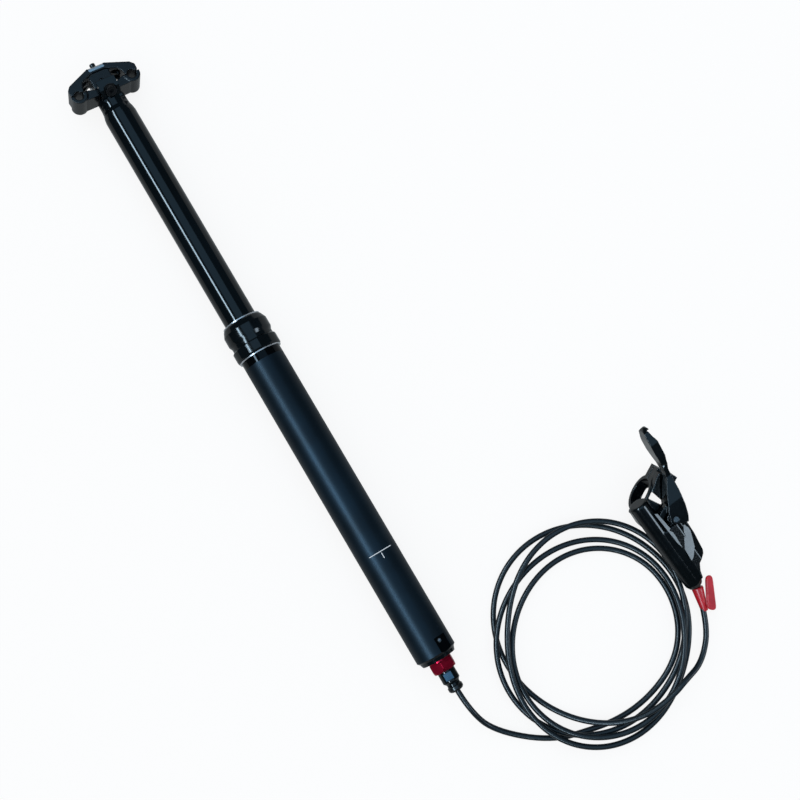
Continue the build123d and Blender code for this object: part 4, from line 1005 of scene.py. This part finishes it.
@dataclass
class Spring:
    """A compression spring: its solid's shape, as it stands in the model.

    Attributes:
        name: The piece's name.
        node: The solid that it stands for.
        joint: The joint that presses it. Not used.
        axis: The direction of its length. Not used.
        fixed_end: The middle of the end that stays, in metres. Not used.
        length: Its length at rest. Not used.
        stroke: How much the joint shortens it. Not used.
    """

    name: str
    node: str
    joint: str
    axis: tuple[float, float, float]
    fixed_end: tuple[float, float, float]
    length: float
    stroke: float

    def build(self, nodes: dict, shelf: FinishShelf) -> bpy.types.Object:
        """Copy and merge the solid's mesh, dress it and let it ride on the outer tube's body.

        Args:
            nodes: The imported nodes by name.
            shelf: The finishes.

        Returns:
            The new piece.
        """
        thing = merged_copy(nodes[self.node], self.name)
        dress(thing, shelf.get(SPRING_WIRE))
        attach(thing, "post_outer")
        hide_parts(self.node)
        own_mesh(thing)
        return thing


def springs() -> list[Spring]:
    """List the springs that a joint presses."""
    return [
        Spring("plunger_return_spring", "plunger_spring", "plunger_slide", (-0.936108, -0.110796, -0.333807),
               (-0.301009, -0.187116, -0.006173), 22.0, 3.9),
        Spring("poppet_return_spring", "poppet_spring", "valve_rod_slide", (1.0, 0.0, 0.0),
               (-0.042, 0.0, 0.0), 16.6, 3.0),
    ]


# Raised details


def plate(name: str, outline: np.ndarray, origin: np.ndarray, along: np.ndarray, across: np.ndarray,
          height: float, bevel: float, sink: float) -> bpy.types.Object:
    """Make a thin raised plate with bevelled edges.

    Its side is three rows of points: the outline below the plane, the outline at the plate's height less
    the bevel, and the outline drawn in towards its middle by the bevel, at the full height. A flat face
    closes the side at the top and another at the foot.

    Args:
        name: The piece's name.
        outline: The outline's corners, along the plate's two axes.
        origin: The point that the outline is measured from.
        along: The plate's first axis.
        across: Its second axis.
        height: How far it stands above its plane.
        bevel: The width and height of its bevel.
        sink: How far its foot goes below its plane.

    Returns:
        The new object.
    """
    normal = np.cross(along, across)
    middle = outline.mean(0)
    reach = np.linalg.norm(outline - middle, axis=1, keepdims=True)
    inner = middle + (outline - middle) * np.maximum(1 - bevel / reach, 0)
    rows = [origin + part[:, :1] * along + part[:, 1:] * across + level * normal
            for part, level in ((outline, -sink), (outline, height - bevel), (inner, height))]
    thing = grid_mesh(name, np.stack(rows), False, True, smooth=False)
    close_shell(thing)
    return thing


@dataclass
class HeadDetails:
    """Bright aluminium plates on the chamfers along the top clamp's hub, and a bright band below the front
    one: painted highlights on the clamp's edges.

    Attributes:
        origin: The head's origin.
        tilt: The head's turn about the post, in degrees.
        half_length: Half a facet's length.
        reach: The clamp's half width at the facets.
        top: The hub's height at the facets.
        cut: How much of each edge a facet takes.
        corner: How far a facet's ends narrow.
        end_share: The share of its width that is left there.
        band_share: The band's width, as a share of the facet's.
        band_drop: How far the band's middle lies below the facet.
        height: How far the facets stand proud.
        band_height: How far the band does.
        bevel: Their bevel.
        sink: How far their feet go into the clamp.
    """

    origin: tuple[float, float, float] = (235.3, 0.0, 0.0)
    tilt: float = 18.0
    half_length: float = 6.3
    reach: float = 10.0
    top: float = 17.0
    cut: float = 1.7
    corner: float = 0.8
    end_share: float = 0.8
    band_share: float = 0.75
    band_drop: float = 0.9
    height: float = 0.12
    band_height: float = 0.14
    bevel: float = 0.08
    sink: float = 0.5

    def outline(self) -> np.ndarray:
        """Work out a facet's eight corners, the long sides lengthways.

        Returns:
            The corners, along and across the facet.
        """
        long, short = self.half_length, self.half_length - self.corner
        wide = self.cut / math.sqrt(2)
        narrow = wide * self.end_share
        return np.array([(-long, -narrow), (-short, -wide), (short, -wide), (long, -narrow),
                         (long, narrow), (short, wide), (-short, wide), (-long, narrow)])

    def build(self, shelf: FinishShelf) -> list[bpy.types.Object]:
        """Lay a bright plate on each facet, half the cut in from the edge both ways, and one on the band:
        painted highlights on the clamp's edges.

        Args:
            shelf: The finishes.

        Returns:
            The three plates.
        """
        turn = math.radians(self.tilt)
        side = np.array([0.0, math.cos(turn), math.sin(turn)])
        front = np.array([0.0, -math.sin(turn), math.cos(turn)])
        up = np.array([1.0, 0.0, 0.0])
        origin, outline = np.array(self.origin), self.outline()
        made = []
        for name, way in (("clamp_edge_highlight_front", 1), ("clamp_edge_highlight_back", -1)):
            middle = origin + up * (self.top - self.cut / 2) + front * way * (self.reach - self.cut / 2)
            slope = (front * way - up) / math.sqrt(2)
            made.append(plate(name, outline, middle, side * way, slope, self.height, self.bevel, self.sink))
        middle = origin + up * (self.top - self.cut - self.band_drop) + front * self.reach
        made.append(plate("clamp_hub_highlight_band", outline * np.array([1.0, self.band_share]), middle, side, -up,
                          self.band_height, self.bevel, self.sink))
        for thing in made:
            # The plates' bright aluminium is painted highlight on the black clamp's edges.
            dress(thing, shelf.get(BARE_ALUMINIUM))
            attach(thing, "upper_post")
        return made


@dataclass
class CouplerDetails:
    """The wrench flat on the hose coupler, where the cutter went through the black skin.

    Attributes:
        middle: The flat's middle, above the post's axis.
        half_length: Half its length.
        half_width: Half its width.
    """

    middle: tuple[float, float, float] = (-273.1, 0.0, 5.8)
    half_length: float = 2.75
    half_width: float = 3.1

    def build(self, shelf: FinishShelf) -> bpy.types.Object:
        """Lay a thin plate on the flat.

        Args:
            shelf: The finishes.

        Returns:
            The plate.
        """
        corners = np.array([(-1, -1), (1, -1), (1, 1), (-1, 1)]) * (self.half_length, self.half_width)
        along, across, _ = np.eye(3)
        thing = plate("coupler_flat_face", corners, np.array(self.middle), along, across,
                      height=0.03, bevel=0.02, sink=0.3)
        dress(thing, shelf.get(MILLED_FLAT))
        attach(thing, "post_outer")
        return thing


@dataclass
class RemoteDetails:
    """The raised facet on the remote's shoulder, and the flange from its ridge towards the lever.

    Attributes:
        origin: The remote's origin.
        along: Its first axis, along the body.
        across: Its second axis.
        facet: The facet's corners, along and across.
        facet_depth: How far the facet's foot goes below its plane.
        flange: The flange's corners.
        flange_depth: How far its foot goes below its plane, short of the lever's hub.
        middle: The point at which both have the height that is given.
        height: Their height there, above the origin.
        slopes: How the height changes along and across.
    """

    origin: tuple[float, float, float] = (-250.0, -198.6, -9.4)
    along: tuple[float, float, float] = (-0.9361, -0.1108, -0.3338)
    across: tuple[float, float, float] = (0.1175, -0.9931, 0.0)
    facet: tuple = ((8.2, 0.2), (9.2, 2.1), (15.1, 2.1), (26.5, -2.4), (31.7, -7.9), (32.7, -10.6),
                    (22.5, -9.9))
    facet_depth: float = 1.2
    flange: tuple = ((-13.6, -12.6), (-12.2, -10.7), (-6.0, -10.1), (-1.1, -9.6), (3.3, -9.2),
                     (10.0, -9.4), (20.5, -10.3), (15.0, -11.4))
    flange_depth: float = 0.9
    middle: tuple[float, float] = (21.0, -10.2)
    height: float = 27.15
    slopes: tuple[float, float] = (0.05, -0.28)

    def build(self, shelf: FinishShelf) -> list[bpy.types.Object]:
        """Lay the facet and the flange on one sloping plane: each axis leans by its slope.

        Args:
            shelf: The finishes.

        Returns:
            The facet and the flange.
        """
        along, across = np.array(self.along), np.array(self.across)
        along /= np.linalg.norm(along)
        across /= np.linalg.norm(across)
        up = np.cross(along, across)
        middle = (np.array(self.origin) + along * self.middle[0] + across * self.middle[1]
                  + up * self.height)
        made = []
        for name, outline, sink in (("remote_shoulder_facet", self.facet, self.facet_depth),
                                    ("remote_ridge_flange", self.flange, self.flange_depth)):
            thing = plate(name, np.array(outline) - np.array(self.middle), middle,
                          along + up * self.slopes[0], across + up * self.slopes[1],
                          height=0.1, bevel=0.25, sink=sink)
            dress(thing, shelf.get(REMOTE_BLACK))
            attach(thing, "post_outer")
            made.append(thing)
        return made


# Solids


@dataclass
class SolidNodes:
    """The solids that keep their own shape and get their finishes.

    Attributes:
        nodes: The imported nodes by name.
        finished: The names of the nodes already dressed.
    """

    nodes: dict
    finished: list = field(default_factory=list)

    def build(self, shelf: FinishShelf) -> None:
        """Give each node its finish.

        Args:
            shelf: The finishes.
        """
        for finish, names in NODE_FINISHES.items():
            for name in names:
                dress(self.nodes[name], shelf.get(finish))
                self.finished.append(name)


def main() -> None:
    """Build the seatpost's looks in order."""
    logging.basicConfig(level=logging.INFO, format="%(message)s")
    for thing in list(bpy.data.objects):
        bpy.data.objects.remove(thing)
    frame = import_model()
    shelf = FinishShelf()
    Studio().build()
    tag = HoseTag().build(shelf)
    made = tag + [Hose().build(shelf, tag)]
    solids = SolidNodes(frame["nodes"])
    solids.build(shelf)
    LOG.info("dressed %d solids", len(solids.finished))
    made += [piece.build(frame["nodes"], shelf) for piece in forgings() + springs()]
    made += HeadDetails().build(shelf) + [CouplerDetails().build(shelf)]
    made += RemoteDetails().build(shelf) + TubePrint().build(shelf)
    for thing in made:
        LOG.info("made %s", thing.name)


if __name__ == "__main__":
    main()
